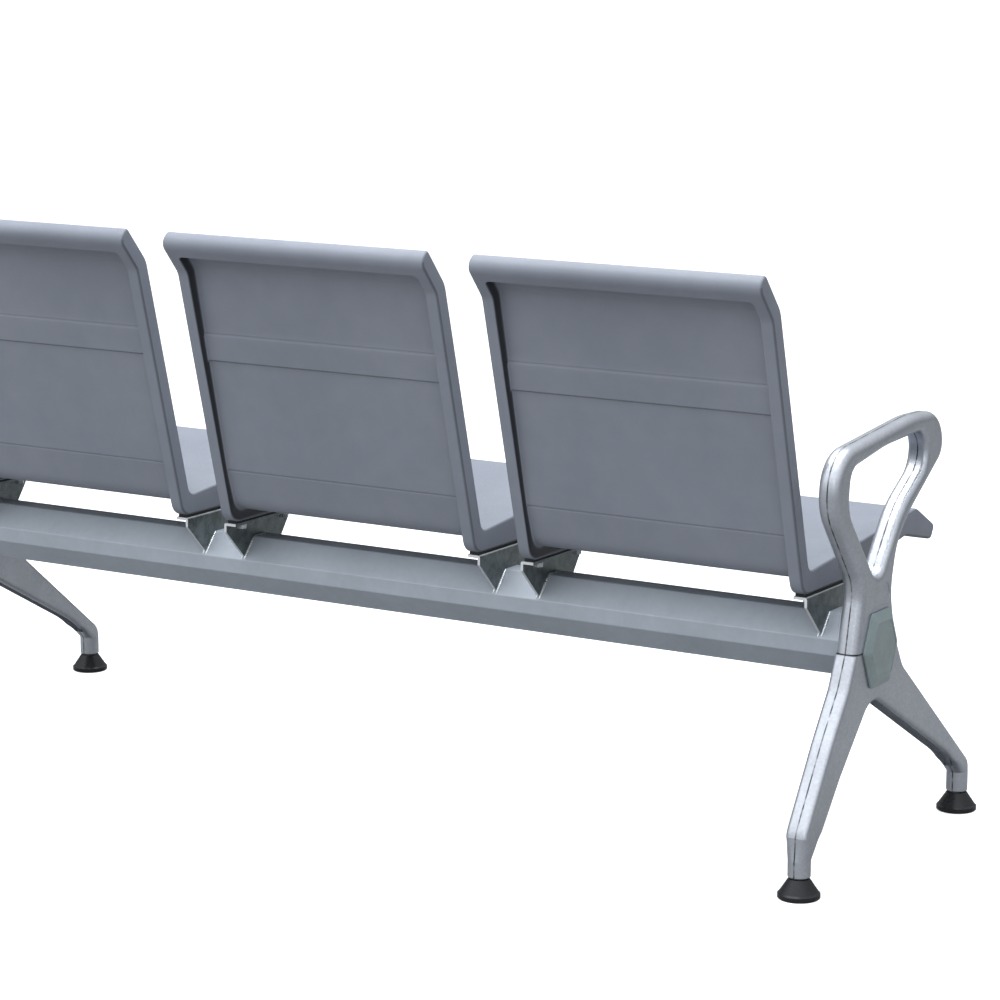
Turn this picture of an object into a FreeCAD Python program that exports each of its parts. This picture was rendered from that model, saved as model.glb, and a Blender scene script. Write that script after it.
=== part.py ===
"""Three-seat beam bench: moulded seats on a steel beam, carried by a cast leg and arm at each end.

Millimetres. +X runs along the bench, the sitter faces -Y, +Z is up.
The origin is on the floor, in the middle of the four feet.
"""
import FreeCAD
import Part
import math
import os

V = FreeCAD.Vector

# Bench layout
SEAT_COUNT = 3
SEAT_PITCH = 520.0          # middle of one seat to the middle of the next
SEAT_WIDTH = 448.0
END_GAP = 56.0              # side of the last seat to the middle plane of the casting
FOOT_REAR_Y = 249.0
FOOT_FRONT_Y = -249.0

# Beam: an eight-sided steel tube
BEAM_Y = 47.5
BEAM_Z = 303.5
BEAM_WIDTH = 88.0
BEAM_HEIGHT = 87.0
BEAM_FLAT = 34.0            # width of the level top and bottom
BEAM_SIDE = 22.0            # height of the upright sides
BEAM_WALL = 2.5
BEAM_ROUND = 4.0            # outside radius of the eight bends
END_PLATE = 10.0            # steel plate welded inside each end of the tube

# Bracket plates welded across the beam
BRACKET_SHEET = 4.0
BRACKET_TOP = 378.0
BRACKET_REAR = 85.0         # reach behind the middle of the beam
BRACKET_FRONT = 74.0        # reach in front of it
BRACKET_EDGE = 14.0         # short upright edge at each end
BRACKET_TIP_DROP = 57.0     # top edge down to the lowest tip
BRACKET_INSET = -2.0        # plate inside the side face of the seat
BRACKET_TIP = 4.0           # level edge at each lowest tip
BRACKET_BEND = 3.6          # outside radius where plate and flange meet
FLANGE_WIDTH = 21.0
WELD_LEG = 3.0

# Rubber strip between flange and seat
STRIP = 3.0
STRIP_INSET = 4.0           # strip shorter than the flange at each end
STRIP_SIDE = 1.0            # strip narrower than the flange

# Seat shell, side profile
JUNCTION_BACK = 74.5        # back-to-seat corner behind the middle of the beam
JUNCTION_Z = 411.6
SEAT_TILT = 5.6             # degrees, rising to the front
SEAT_LENGTH = 336.6         # corner to front crest
NOSE_TILT = 29.2            # degrees, falling to the front
NOSE_LENGTH = 71.0
BACK_LEAN = 14.5            # degrees from upright
BACK_LENGTH = 376.5         # corner to the bend under the top roll
ROLL_LEAN = 40.2            # degrees from upright
ROLL_LENGTH = 68.0
BACK_DEPTH = 25.5           # thickness of the side rails and top roll
SEAT_DEPTH = 32.0           # thickness of the seat's side rails at the front
LIP_DEPTH = 23.0
UNDERSIDE_FLAT = 117.0      # level length of the rails over the brackets
LIP_REACH = 34.0            # front crest back to the root of the lip
RAIL_WIDTH = 20.0
RAIL_EDGE = 3.5             # rounding of the rails' outer edges
WEB = 8.0                   # panel between the rails
TOP_ROLL = 32.5             # end of the roll down to the recess
RECESS_CORNER = 9.0
RECESS_ROUND = 3.5         # where the panel meets the rails
BAND_LOW = 238.0            # raised band on the back, measured up the lean from the corner
BAND_HIGH = 284.0
BAND_RISE = 2.5

# Cast legs and arms
HUB_THICK = 34.0
LEG_THICK = 32.5            # at the ankles
JOINT_Z = 305.0             # line where the arm casting stands on the leg casting
JOINT_REVEAL = 1.4          # shadow gap round that line, as high as it is deep
POST_RADIUS = 15.5
POST_BOTTOM = 28.5
POST_ROUND = 2.5            # lower edge of the posts
ANKLE_Z = 88.0              # height that the bends above the posts are measured from
REAR_ANKLE = (84.0, 52.0)   # heights where the leg's section starts to turn round, and where it is
FRONT_ANKLE = (84.0, 58.0)
ANKLE_ROUND = 11.0          # corners of the section half way between them
ARM_TOP = 607.0
ARM_ROUND = 13.0
LEG_ROUND = 6.5
LOOP_ROUND = 9.0
CHANNEL_WIDTH = 20.0
CHANNEL_DEPTH = 9.0
CHANNEL_REAR = 92.0         # lower end of the groove in each leg
CHANNEL_FRONT = 70.0

# Outside of the arm above its neck: behind the middle of the beam, below the arm's top, corner radius
ARM_OUTSIDE = [(143.0, 98.0, 72.0), (133.0, 21.0, 56.0), (-92.0, 0.0, 300.0), (-188.0, 3.5, 46.0),
               (-190.0, 66.0, 32.0), (-92.0, 131.0, 130.0), (-51.0, 168.0, 80.0)]
# Opening of the arm's loop above its lower tip, in the same way
ARM_INSIDE = [(104.0, 99.0, 50.0), (97.0, 46.0, 24.0), (-10.0, 29.5, 300.0), (-141.0, 24.0, 28.0),
              (-133.0, 77.0, 38.0), (-62.0, 120.0, 160.0)]
# Neck of the arm: behind the middle of the beam, above the joint line, corner radius
NECK_REAR = [(77.0, 0.0, 0.0), (57.0, 90.0, 50.0)]
NECK_FRONT = [(-34.0, 71.0, 90.0), (-52.0, 0.0, 0.0)]
LOOP_TIP = (11.0, 85.0, 21.0)

# Hub: bolts, washers and cap
HUB_Y = BEAM_Y + 8.0
HUB_Z = BEAM_Z
CAP_WIDTH = 102.0
CAP_HEIGHT = 103.0
CAP_FLAT = 56.0             # top and bottom edges of the cap's outline
CAP_BEVEL = 13.0
CAP_PROUD = 9.0
CAP_WALL = 3.0
CAP_REVEAL = 1.0            # shadow gap round the foot of the cap
CAP_LIP = 2.5               # raised edge round the front of the cap
CAP_DISH = 0.6
POCKET_INSET = 8.0          # cap outline to pocket wall
POCKET_DEPTH = 16.0
HUB_BOLT_RADIUS = 5.0
HUB_BOLT_HEAD_RADIUS = 8.0
HUB_BOLT_HEAD = 10.0
HUB_BOLT_SOCKET = 4.0       # radius of the key socket
HUB_BOLT_Y = 14.0           # bolts either side of the middle of the hub
HUB_BOLT_Z = 20.0
WASHER_RADIUS = 10.0
WASHER_THICK = 2.0

# Shallow panel in the outer face of the arm, over the cap: beside and above the middle of the hub
PANEL_SIDE = [(24.0, 86.0, 3.0), (30.0, 71.0, 6.0), (25.5, 57.0, 3.0)]
PANEL_DEPTH = 0.6

# Seat fastening
SEAT_BOLT_RADIUS = 4.0
SEAT_BOLT_HEX = 13.0        # across flats
SEAT_BOLT_HEAD = 5.3
SEAT_BOLT_INSET = 11.0      # from the seat's side face
SEAT_BOLT_REAR = 58.0
SEAT_BOLT_FRONT = -48.0
SEAT_WASHER_RADIUS = 7.0
SEAT_WASHER_THICK = 1.6
SEAT_INSERT_RADIUS = 6.5
SEAT_INSERT_LENGTH = 14.0
SEAT_INSERT_RECESS = 1.5    # bush above the rail's underside
SEAT_BOLT_SHORT = 2.0       # end of the bolt below the top of the bush

# Levelling feet
PAD_RADIUS = 28.75
PAD_RIM = 9.0
PAD_SHOULDER_RADIUS = 26.5
PAD_TOP_RADIUS = 14.5
PAD_HEIGHT = 27.0
PAD_CHAMFER = 1.5           # lower edge of the rim
STEM_RADIUS = 6.0
STEM_TOP = 62.0
STEM_BORE = 7.0             # radius of the hole above the bush
STEM_ROOM = 3.0             # hole above the end of the stem
STEM_HEX = 19.0             # across flats, sunk in the top of the pad
STEM_HEX_HEIGHT = 4.0
COLLAR_RADIUS = 9.5
COLLAR_HEIGHT = 5.0
COLLAR_Z = 7.0
RUNNING_FIT = 0.05          # radial, stem in insert and in pad
FREE_GAP = 0.3              # faces that pass each other
INSERT_RADIUS = 9.5
INSERT_LENGTH = 30.0

# Worked out from the sizes above
LEG_X = ((SEAT_COUNT - 1) * SEAT_PITCH + SEAT_WIDTH) / 2 + END_GAP
HUB_HALF = HUB_THICK / 2
BEAM_LENGTH = 2 * (LEG_X - HUB_HALF)
BEAM_TOP = BEAM_Z + BEAM_HEIGHT / 2
RAIL_BOTTOM = BRACKET_TOP + STRIP
SEAT_XS = [(i - (SEAT_COUNT - 1) / 2) * SEAT_PITCH for i in range(SEAT_COUNT)]


def rounded_face(corners, x):
    """Flat face at x from (y, z, radius) corners, each rounded by its radius."""
    count = len(corners)
    starts = []
    ends = []
    mids = []
    for i in range(count):
        here = V(x, corners[i][0], corners[i][1])
        radius = corners[i][2]
        before = V(x, *corners[i - 1][:2]).sub(here).normalize()
        after = V(x, *corners[(i + 1) % count][:2]).sub(here).normalize()
        if radius == 0:
            starts.append(here)
            ends.append(here)
            mids.append(None)
            continue
        half = before.getAngle(after) / 2
        reach = radius / math.tan(half)
        middle = before.add(after).normalize()
        starts.append(here.add(before * reach))
        ends.append(here.add(after * reach))
        mids.append(here.add(middle * (radius / math.sin(half) - radius)))
    edges = []
    for i in range(count):
        if mids[i] is not None:
            edges.append(Part.Arc(starts[i], mids[i], ends[i]).toShape())
        following = starts[(i + 1) % count]
        if ends[i].distanceToPoint(following) > 1e-6:
            edges.append(Part.LineSegment(ends[i], following).toShape())
    return Part.Face(Part.Wire(edges))


def plate(corners, x, thick):
    """Solid with a rounded outline in the Y-Z plane, from x to x + thick."""
    return rounded_face(corners, x).extrude(V(thick, 0, 0))


def rod(radius, start, end):
    """Round bar between two points."""
    run = end.sub(start)
    return Part.makeCylinder(radius, run.Length, start, run)


def hexagon(across, start, height):
    """Six-sided bar standing on start, with its length along Z."""
    radius = across / math.sqrt(3)
    corners = [start.add(V(radius * math.cos(math.radians(60 * i)),
                           radius * math.sin(math.radians(60 * i)), 0)) for i in range(6)]
    return Part.Face(Part.makePolygon(corners + corners[:1])).extrude(V(0, 0, height))


def step(point, degrees, length):
    """Point moved by a length; 0 degrees is straight up and 90 is towards the rear."""
    angle = math.radians(degrees)
    return (point[0] + length * math.sin(angle), point[1] + length * math.cos(angle))


def edges_at(shape, xs, lowest=None):
    """Edges lying in the planes x = xs, left out where they lie on the level z = lowest."""
    found = []
    for edge in shape.Edges:
        box = edge.BoundBox
        if not any(abs(box.XMin - x) < 1e-4 and abs(box.XMax - x) < 1e-4 for x in xs):
            continue
        if lowest is not None and box.ZMax - box.ZMin < 1e-4 and abs(box.ZMin - lowest) < 1e-3:
            continue
        found.append(edge)
    return found


def mirrored(shape):
    """The same solid for the other end of the bench."""
    return shape.mirror(V(0, 0, 0), V(1, 0, 0))


# Beam

def beam_section(inset):
    """Corners of the beam's outline, moved in by a wall thickness."""
    wide = BEAM_WIDTH / 2
    tall = BEAM_HEIGHT / 2
    flat = BEAM_FLAT / 2
    side = BEAM_SIDE / 2
    bend = max(BEAM_ROUND - inset, 0)
    slant = math.atan2(tall - side, wide - flat)
    corner = inset * math.tan(slant / 2)
    lower = inset * math.tan((math.pi / 2 - slant) / 2)
    quarter = [(wide - inset, side - lower), (flat - corner, tall - inset)]
    right = [(y, z) for y, z in quarter]
    left = [(-y, z) for y, z in reversed(quarter)]
    upper = right + left
    lower_half = [(y, -z) for y, z in reversed(upper)]
    return [(BEAM_Y + y, BEAM_Z + z, bend) for y, z in upper + lower_half]


def beam_half_width(z):
    """Half width of the beam at a height on its upper slopes."""
    share = (BEAM_TOP - z) / (BEAM_HEIGHT / 2 - BEAM_SIDE / 2)
    return BEAM_FLAT / 2 + share * (BEAM_WIDTH - BEAM_FLAT) / 2


def make_beam():
    outer = plate(beam_section(0), -BEAM_LENGTH / 2, BEAM_LENGTH)
    inner = plate(beam_section(BEAM_WALL), -BEAM_LENGTH / 2 - 1, BEAM_LENGTH + 2)
    return outer.cut(inner)


def hub_bolt_places():
    return [(HUB_Y + side * HUB_BOLT_Y, HUB_Z + level * HUB_BOLT_Z)
            for side in (-1, 1) for level in (-1, 1)]


def make_end_plate():
    body = plate(beam_section(BEAM_WALL), BEAM_LENGTH / 2 - END_PLATE, END_PLATE)
    for y, z in hub_bolt_places():
        body = body.cut(rod(HUB_BOLT_RADIUS, V(BEAM_LENGTH / 2 - END_PLATE - 1, y, z),
                            V(BEAM_LENGTH / 2 + 1, y, z)))
    return body


# Castings

def leg_corners():
    """Side outline of the leg casting, clockwise from the rear end of the joint line."""
    rear = FOOT_REAR_Y
    front = FOOT_FRONT_Y
    hub = BEAM_Y
    return [
        (hub + 77, JOINT_Z, 0),
        (hub + 97, JOINT_Z - 43, 70),
        (rear - 58, ANKLE_Z + 110, 260),
        (rear + POST_RADIUS - 2, ANKLE_Z, 40),
        (rear + POST_RADIUS - 2, ANKLE_Z - 46, 0),
        (rear - POST_RADIUS + 2, ANKLE_Z - 46, 0),
        (rear - POST_RADIUS, ANKLE_Z - 31, 24),
        (rear - 87, ANKLE_Z + 56, 200),
        (hub + 22, JOINT_Z - 64, 42),
        (front + 64, ANKLE_Z + 12, 160),
        (front + POST_RADIUS, ANKLE_Z - 26, 24),
        (front + POST_RADIUS - 2, ANKLE_Z - 38, 0),
        (front - POST_RADIUS + 2, ANKLE_Z - 38, 0),
        (front - POST_RADIUS + 2, ANKLE_Z - 19, 26),
        (hub - 72, JOINT_Z - 41, 55),
        (hub - 49.5, JOINT_Z, 0),
    ]


def taper_block():
    """Wedge that thins the leg casting from the hub down to the ankles."""
    top = HUB_HALF
    low = top - (HUB_THICK - LEG_THICK) / 2 * JOINT_Z / (JOINT_Z - ANKLE_Z)
    section = [(-top, JOINT_Z), (top, JOINT_Z), (low, 0), (-low, 0)]
    start = FOOT_FRONT_Y - 2 * POST_RADIUS
    points = [V(LEG_X + x, start, z) for x, z in section]
    face = Part.Face(Part.makePolygon(points + points[:1]))
    return face.extrude(V(0, FOOT_REAR_Y - start + 2 * POST_RADIUS, 0))


def crotch_channel():
    """Groove in the inner edges of both legs, along the line between them."""
    corners = leg_corners()
    line = corners[6:11]
    reach = 3 * POST_RADIUS
    low = POST_BOTTOM
    floor = [(FOOT_FRONT_Y + reach, low, 0), (FOOT_REAR_Y - reach, low, 0)]
    gap = rounded_face(line + floor, LEG_X - CHANNEL_WIDTH / 2)
    grown = gap.makeOffset2D(CHANNEL_DEPTH)
    groove = grown.extrude(V(CHANNEL_WIDTH, 0, 0))
    ends = []
    for y, length, z in ((FOOT_FRONT_Y, BEAM_Y - FOOT_FRONT_Y, CHANNEL_FRONT),
                         (BEAM_Y, FOOT_REAR_Y - BEAM_Y, CHANNEL_REAR)):
        ends.append(Part.makeBox(CHANNEL_WIDTH + 2, length, JOINT_Z,
                                 V(LEG_X - CHANNEL_WIDTH / 2 - 1, y, z)))
    return groove.common(ends[0].fuse(ends[1]))


def hub_outline(width, height, flat):
    """Six corners of the hub cap's outline."""
    return [
        (HUB_Y + flat / 2, HUB_Z + height / 2, 5),
        (HUB_Y + width / 2, HUB_Z, 6),
        (HUB_Y + flat / 2, HUB_Z - height / 2, 5),
        (HUB_Y - flat / 2, HUB_Z - height / 2, 5),
        (HUB_Y - width / 2, HUB_Z, 6),
        (HUB_Y - flat / 2, HUB_Z + height / 2, 5),
    ]


def hub_pocket():
    """Pocket in the outer face that holds the bolt heads under the cap."""
    shrink = 2 * POCKET_INSET
    corners = hub_outline(CAP_WIDTH - shrink, CAP_HEIGHT - shrink, CAP_FLAT - POCKET_INSET)
    return plate(corners, LEG_X + HUB_HALF - POCKET_DEPTH, POCKET_DEPTH + 1)


def hub_holes(casting, level):
    """Bolt holes of one casting: level -1 for the leg, 1 for the arm."""
    for side in (-1, 1):
        y = HUB_Y + side * HUB_BOLT_Y
        z = HUB_Z + level * HUB_BOLT_Z
        casting = casting.cut(rod(HUB_BOLT_RADIUS, V(LEG_X - HUB_HALF - 1, y, z), V(LEG_X + HUB_HALF, y, z)))
    return casting


def level_wire(body, y, z):
    """Outline of a leg at a height, near one post."""
    wires = body.slice(V(0, 0, 1), z)
    return min(wires, key=lambda wire: abs(wire.BoundBox.Center.y - y))


def level_face(y_low, y_high, half, radius, z):
    """Level rounded rectangle at a height, half as wide on each side of the casting's middle plane."""
    face = rounded_face([(y_low, -half, radius), (y_low, half, radius),
                         (y_high, half, radius), (y_high, -half, radius)], 0)
    face.rotate(V(0, 0, 0), V(0, 1, 0), 90)
    face.translate(V(LEG_X, 0, z))
    return face


def joint_reveal(casting):
    """Ring that is cut away round the top of the leg casting, so that the joint shows as a dark line."""
    low = JOINT_Z - JOINT_REVEAL
    limits = level_wire(casting, BEAM_Y, low).BoundBox
    core = level_face(limits.YMin + JOINT_REVEAL, limits.YMax - JOINT_REVEAL, HUB_HALF - JOINT_REVEAL,
                      LEG_ROUND - JOINT_REVEAL, low).extrude(V(0, 0, JOINT_REVEAL))
    layer = Part.makeBox(HUB_THICK + 2, FOOT_REAR_Y - FOOT_FRONT_Y, JOINT_REVEAL,
                         V(LEG_X - HUB_HALF - 1, FOOT_FRONT_Y, low))
    return layer.cut(core)


def ankle(body, y, top, low):
    """Lower end of a leg, from its own section at the top to the round post below."""
    middle = (top + low) / 2
    limits = level_wire(body, y, middle).BoundBox
    half = (limits.XLength / 2 + POST_RADIUS) / 2
    between = level_face(limits.YMin, limits.YMax, half, ANKLE_ROUND, middle).OuterWire
    ring = Part.Wire(Part.makeCircle(POST_RADIUS, V(LEG_X, y, low)))
    return Part.makeLoft([level_wire(body, y, top), between, ring], True)


def make_leg():
    body = plate(leg_corners(), LEG_X - HUB_HALF, HUB_THICK)
    body = body.common(taper_block())
    outer_edges = []
    for edge in body.Edges:
        box = edge.BoundBox
        in_joint = box.ZMin > JOINT_Z - 1e-3
        in_foot = box.ZMax < ANKLE_Z - 29
        across = box.XMax - box.XMin > LEG_THICK / 2
        if not (in_joint or in_foot or across):
            outer_edges.append(edge)
    body = body.makeFillet(LEG_ROUND, outer_edges)
    body = body.cut(joint_reveal(body))
    for y, (top, low) in ((FOOT_REAR_Y, REAR_ANKLE), (FOOT_FRONT_Y, FRONT_ANKLE)):
        post = rod(POST_RADIUS, V(LEG_X, y, POST_BOTTOM), V(LEG_X, y, low))
        rim = [edge for edge in post.Edges if edge.BoundBox.ZMax < POST_BOTTOM + 1e-3]
        post = post.makeFillet(POST_ROUND, rim)
        blend = ankle(body, y, top, low)
        reach = 4 * POST_RADIUS
        below = Part.makeBox(HUB_THICK, 2 * reach, top, V(LEG_X - HUB_HALF, y - reach, 0))
        body = body.cut(below).fuse(blend).fuse(post)
    body = body.removeSplitter()
    body = body.cut(crotch_channel())
    for y in (FOOT_REAR_Y, FOOT_FRONT_Y):
        body = body.cut(rod(INSERT_RADIUS, V(LEG_X, y, POST_BOTTOM - 1),
                            V(LEG_X, y, POST_BOTTOM + INSERT_LENGTH)))
        body = body.cut(rod(STEM_BORE, V(LEG_X, y, POST_BOTTOM), V(LEG_X, y, STEM_TOP + STEM_ROOM)))
    body = hub_holes(body, -1)
    return body.cut(hub_pocket())


def arm_outer():
    """Outside of the arm casting, clockwise from the rear end of the joint line."""
    rear, front = ([(BEAM_Y + y, JOINT_Z + z, r) for y, z, r in neck] for neck in (NECK_REAR, NECK_FRONT))
    return rear + [(BEAM_Y + y, ARM_TOP - z, r) for y, z, r in ARM_OUTSIDE] + front


def arm_inner():
    """Opening of the arm loop."""
    y, z, r = LOOP_TIP
    return [(BEAM_Y + y, JOINT_Z + z, r)] + [(BEAM_Y + y, ARM_TOP - z, r) for y, z, r in ARM_INSIDE]


def arm_panel():
    """Shallow panel in the outer face."""
    half = [(HUB_Y + y, HUB_Z + z, r) for y, z, r in PANEL_SIDE]
    other = [(HUB_Y - y, HUB_Z + z, r) for y, z, r in reversed(PANEL_SIDE)]
    return plate(half + other, LEG_X + HUB_HALF - PANEL_DEPTH, PANEL_DEPTH + 1)


def make_arm():
    body = plate(arm_outer(), LEG_X - HUB_HALF, HUB_THICK)
    faces_x = [LEG_X - HUB_HALF, LEG_X + HUB_HALF]
    body = body.makeFillet(ARM_ROUND, edges_at(body, faces_x, JOINT_Z))
    hole = plate(arm_inner(), LEG_X - HUB_HALF - 1, HUB_THICK + 2)
    body = body.cut(hole)
    rim = [edge for edge in edges_at(body, faces_x)
           if all(hole.distToShape(vertex)[0] < 1e-3 for vertex in edge.Vertexes)]
    body = body.makeFillet(LOOP_ROUND, rim)
    body = hub_holes(body, 1).cut(arm_panel())
    return body.cut(hub_pocket())


def make_cap():
    """Bevelled cover plate over the hub pocket, hollow behind, with a skirt that grips the pocket."""
    base_x = LEG_X + HUB_HALF
    base = hub_outline(CAP_WIDTH, CAP_HEIGHT, CAP_FLAT)
    shrink = 2 * CAP_BEVEL
    top = hub_outline(CAP_WIDTH - shrink, CAP_HEIGHT - shrink, CAP_FLAT - CAP_BEVEL)
    foot = hub_outline(CAP_WIDTH - 2 * CAP_REVEAL, CAP_HEIGHT - 2 * CAP_REVEAL, CAP_FLAT - CAP_REVEAL)
    rim = plate(base, base_x + CAP_REVEAL, CAP_WALL - CAP_REVEAL).fuse(plate(foot, base_x, CAP_REVEAL))
    slope = Part.makeLoft([rounded_face(base, base_x + CAP_WALL).OuterWire,
                           rounded_face(top, base_x + CAP_PROUD).OuterWire], True, True)
    body = rim.fuse(slope).removeSplitter()
    gap = 2 * (POCKET_INSET + FREE_GAP)
    skirt = hub_outline(CAP_WIDTH - gap, CAP_HEIGHT - gap, CAP_FLAT - POCKET_INSET)
    deep = gap + 2 * CAP_WALL
    hollow = hub_outline(CAP_WIDTH - deep, CAP_HEIGHT - deep, CAP_FLAT - POCKET_INSET - CAP_WALL)
    skirt_depth = POCKET_DEPTH - HUB_BOLT_HEAD - WASHER_THICK
    body = body.fuse(plate(skirt, base_x - skirt_depth, skirt_depth))
    inset = shrink + 2 * CAP_LIP
    dish = hub_outline(CAP_WIDTH - inset, CAP_HEIGHT - inset, CAP_FLAT - CAP_BEVEL - CAP_LIP)
    body = body.cut(plate(dish, base_x + CAP_PROUD - CAP_DISH, CAP_DISH + 1))
    return body.cut(plate(hollow, base_x - skirt_depth - 1, skirt_depth + CAP_PROUD - CAP_WALL + 1))


def make_hub_bolts():
    """Four socket-head screws with their heads in the pocket."""
    seat_x = LEG_X + HUB_HALF - POCKET_DEPTH + WASHER_THICK
    bolts = []
    for y, z in hub_bolt_places():
        shank = rod(HUB_BOLT_RADIUS, V(LEG_X - HUB_HALF - END_PLATE, y, z), V(seat_x, y, z))
        head = rod(HUB_BOLT_HEAD_RADIUS, V(seat_x, y, z), V(seat_x + HUB_BOLT_HEAD, y, z))
        socket = rod(HUB_BOLT_SOCKET, V(seat_x + HUB_BOLT_HEAD / 2, y, z),
                     V(seat_x + HUB_BOLT_HEAD + 1, y, z))
        bolts.append(shank.fuse(head).cut(socket).removeSplitter())
    return Part.Compound(bolts)


def make_hub_washers():
    start_x = LEG_X + HUB_HALF - POCKET_DEPTH
    washers = []
    for y, z in hub_bolt_places():
        ring = rod(WASHER_RADIUS, V(start_x, y, z), V(start_x + WASHER_THICK, y, z))
        hole = rod(HUB_BOLT_RADIUS, V(start_x - 1, y, z), V(start_x + WASHER_THICK + 1, y, z))
        washers.append(ring.cut(hole))
    return Part.Compound(washers)


# Brackets

def bracket_corners():
    """Plate with a level top, two slanted ends and a notch that fits over the beam."""
    tip_z = BRACKET_TOP - BRACKET_TIP_DROP
    tip = beam_half_width(tip_z)
    flat = BEAM_FLAT / 2
    rear = BEAM_Y + BRACKET_REAR
    front = BEAM_Y - BRACKET_FRONT
    return [
        (front, BRACKET_TOP, 0),
        (rear, BRACKET_TOP, 0),
        (rear, BRACKET_TOP - BRACKET_EDGE, 2),
        (BEAM_Y + tip + BRACKET_TIP, tip_z, 0),
        (BEAM_Y + tip, tip_z, 0),
        (BEAM_Y + flat, BEAM_TOP, 0),
        (BEAM_Y - flat, BEAM_TOP, 0),
        (BEAM_Y - tip, tip_z, 0),
        (BEAM_Y - tip - BRACKET_TIP, tip_z, 0),
        (front, BRACKET_TOP - BRACKET_EDGE, 2),
    ]


def bracket_places():
    """Outer face and inward direction of each plate, from the left end."""
    places = []
    for seat_x in SEAT_XS:
        half = SEAT_WIDTH / 2 - BRACKET_INSET
        places.append((seat_x - half, 1))
        places.append((seat_x + half, -1))
    return places


def seat_bolt_ys():
    return [BEAM_Y + SEAT_BOLT_REAR, BEAM_Y + SEAT_BOLT_FRONT]


def seat_bolt_x(face_x, inward):
    return face_x + inward * (SEAT_BOLT_INSET - BRACKET_INSET)


def slab(face_x, inward, width, y_low, y_high, z_low, z_high):
    """Box reaching inward from a bracket's outer face."""
    x = face_x if inward > 0 else face_x - width
    return Part.makeBox(width, y_high - y_low, z_high - z_low, V(x, y_low, z_low))


def make_bracket(face_x, inward):
    x = face_x if inward > 0 else face_x - BRACKET_SHEET
    web = plate(bracket_corners(), x, BRACKET_SHEET)
    flange = slab(face_x, inward, FLANGE_WIDTH, BEAM_Y - BRACKET_FRONT, BEAM_Y + BRACKET_REAR,
                  BRACKET_TOP - BRACKET_SHEET, BRACKET_TOP)
    body = web.fuse(flange).removeSplitter()
    bend = [edge for edge in body.Edges
            if abs(edge.BoundBox.ZMin - BRACKET_TOP) < 1e-4 and edge.BoundBox.YLength > BRACKET_REAR
            and abs(edge.BoundBox.XMin - face_x) < 1e-4 and abs(edge.BoundBox.XMax - face_x) < 1e-4]
    body = body.makeFillet(BRACKET_BEND, bend)
    hole_x = seat_bolt_x(face_x, inward)
    for y in seat_bolt_ys():
        body = body.cut(rod(SEAT_BOLT_RADIUS, V(hole_x, y, BRACKET_TOP - BRACKET_SHEET - 1),
                            V(hole_x, y, BRACKET_TOP + 1)))
    return body


def make_strip(face_x, inward):
    """Rubber strip on the flange, cut to the underside of the seat rail."""
    body = slab(face_x + inward * BRACKET_SHEET, inward, FLANGE_WIDTH - BRACKET_SHEET - STRIP_SIDE,
                BEAM_Y - BRACKET_FRONT + STRIP_INSET, BEAM_Y + BRACKET_REAR - STRIP_INSET,
                BRACKET_TOP, RAIL_BOTTOM + SEAT_DEPTH / 2)
    body = body.cut(plate(shell_corners(), face_x - 2 * FLANGE_WIDTH, 4 * FLANGE_WIDTH))
    hole_x = seat_bolt_x(face_x, inward)
    for y in seat_bolt_ys():
        body = body.cut(rod(SEAT_BOLT_RADIUS, V(hole_x, y, BRACKET_TOP - 1),
                            V(hole_x, y, RAIL_BOTTOM + SEAT_DEPTH)))
    return body


def weld_run(face_x, outward, start, end):
    """Three-cornered bead in the corner between a plate and the beam, from start to end in the Y-Z plane."""
    y0, z0 = start
    y1, z1 = end
    length = math.hypot(y1 - y0, z1 - z0)
    lift = V(0, -(z1 - z0) / length, (y1 - y0) / length) * WELD_LEG
    if lift.z < 0:
        lift = lift * -1
    foot = V(face_x, y0, z0)
    face = Part.Face(Part.makePolygon([foot, foot.add(V(outward * WELD_LEG, 0, 0)), foot.add(lift), foot]))
    return face.extrude(V(0, y1 - y0, z1 - z0))


def make_welds():
    """A bead along the notch on the inner side of every bracket."""
    tip_z = BRACKET_TOP - BRACKET_TIP_DROP
    tip = beam_half_width(tip_z)
    flat = BEAM_FLAT / 2
    beads = []
    for face_x, inward in bracket_places():
        inner_x = face_x + inward * BRACKET_SHEET
        beads.append(weld_run(inner_x, inward, (BEAM_Y + flat, BEAM_TOP), (BEAM_Y + tip, tip_z)))
        beads.append(weld_run(inner_x, inward, (BEAM_Y - flat + WELD_LEG, BEAM_TOP),
                              (BEAM_Y + flat - WELD_LEG, BEAM_TOP)))
        beads.append(weld_run(inner_x, inward, (BEAM_Y - flat, BEAM_TOP), (BEAM_Y - tip, tip_z)))
    return Part.Compound(beads)


def make_seat_bolts():
    """Hexagon bolts up through flange and strip into the rails."""
    under = BRACKET_TOP - BRACKET_SHEET - SEAT_WASHER_THICK
    bolts = []
    for face_x, inward in bracket_places():
        x = seat_bolt_x(face_x, inward)
        for y in seat_bolt_ys():
            head = hexagon(SEAT_BOLT_HEX, V(x, y, under - SEAT_BOLT_HEAD), SEAT_BOLT_HEAD)
            top = bush_bottom(y) + SEAT_INSERT_LENGTH - SEAT_BOLT_SHORT
            shank = rod(SEAT_BOLT_RADIUS, V(x, y, under), V(x, y, top))
            bolts.append(head.fuse(shank))
    return Part.Compound(bolts)


def make_seat_washers():
    top = BRACKET_TOP - BRACKET_SHEET
    washers = []
    for face_x, inward in bracket_places():
        x = seat_bolt_x(face_x, inward)
        for y in seat_bolt_ys():
            ring = rod(SEAT_WASHER_RADIUS, V(x, y, top - SEAT_WASHER_THICK), V(x, y, top))
            hole = rod(SEAT_BOLT_RADIUS, V(x, y, top - SEAT_WASHER_THICK - 1), V(x, y, top + 1))
            washers.append(ring.cut(hole))
    return Part.Compound(washers)


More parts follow.
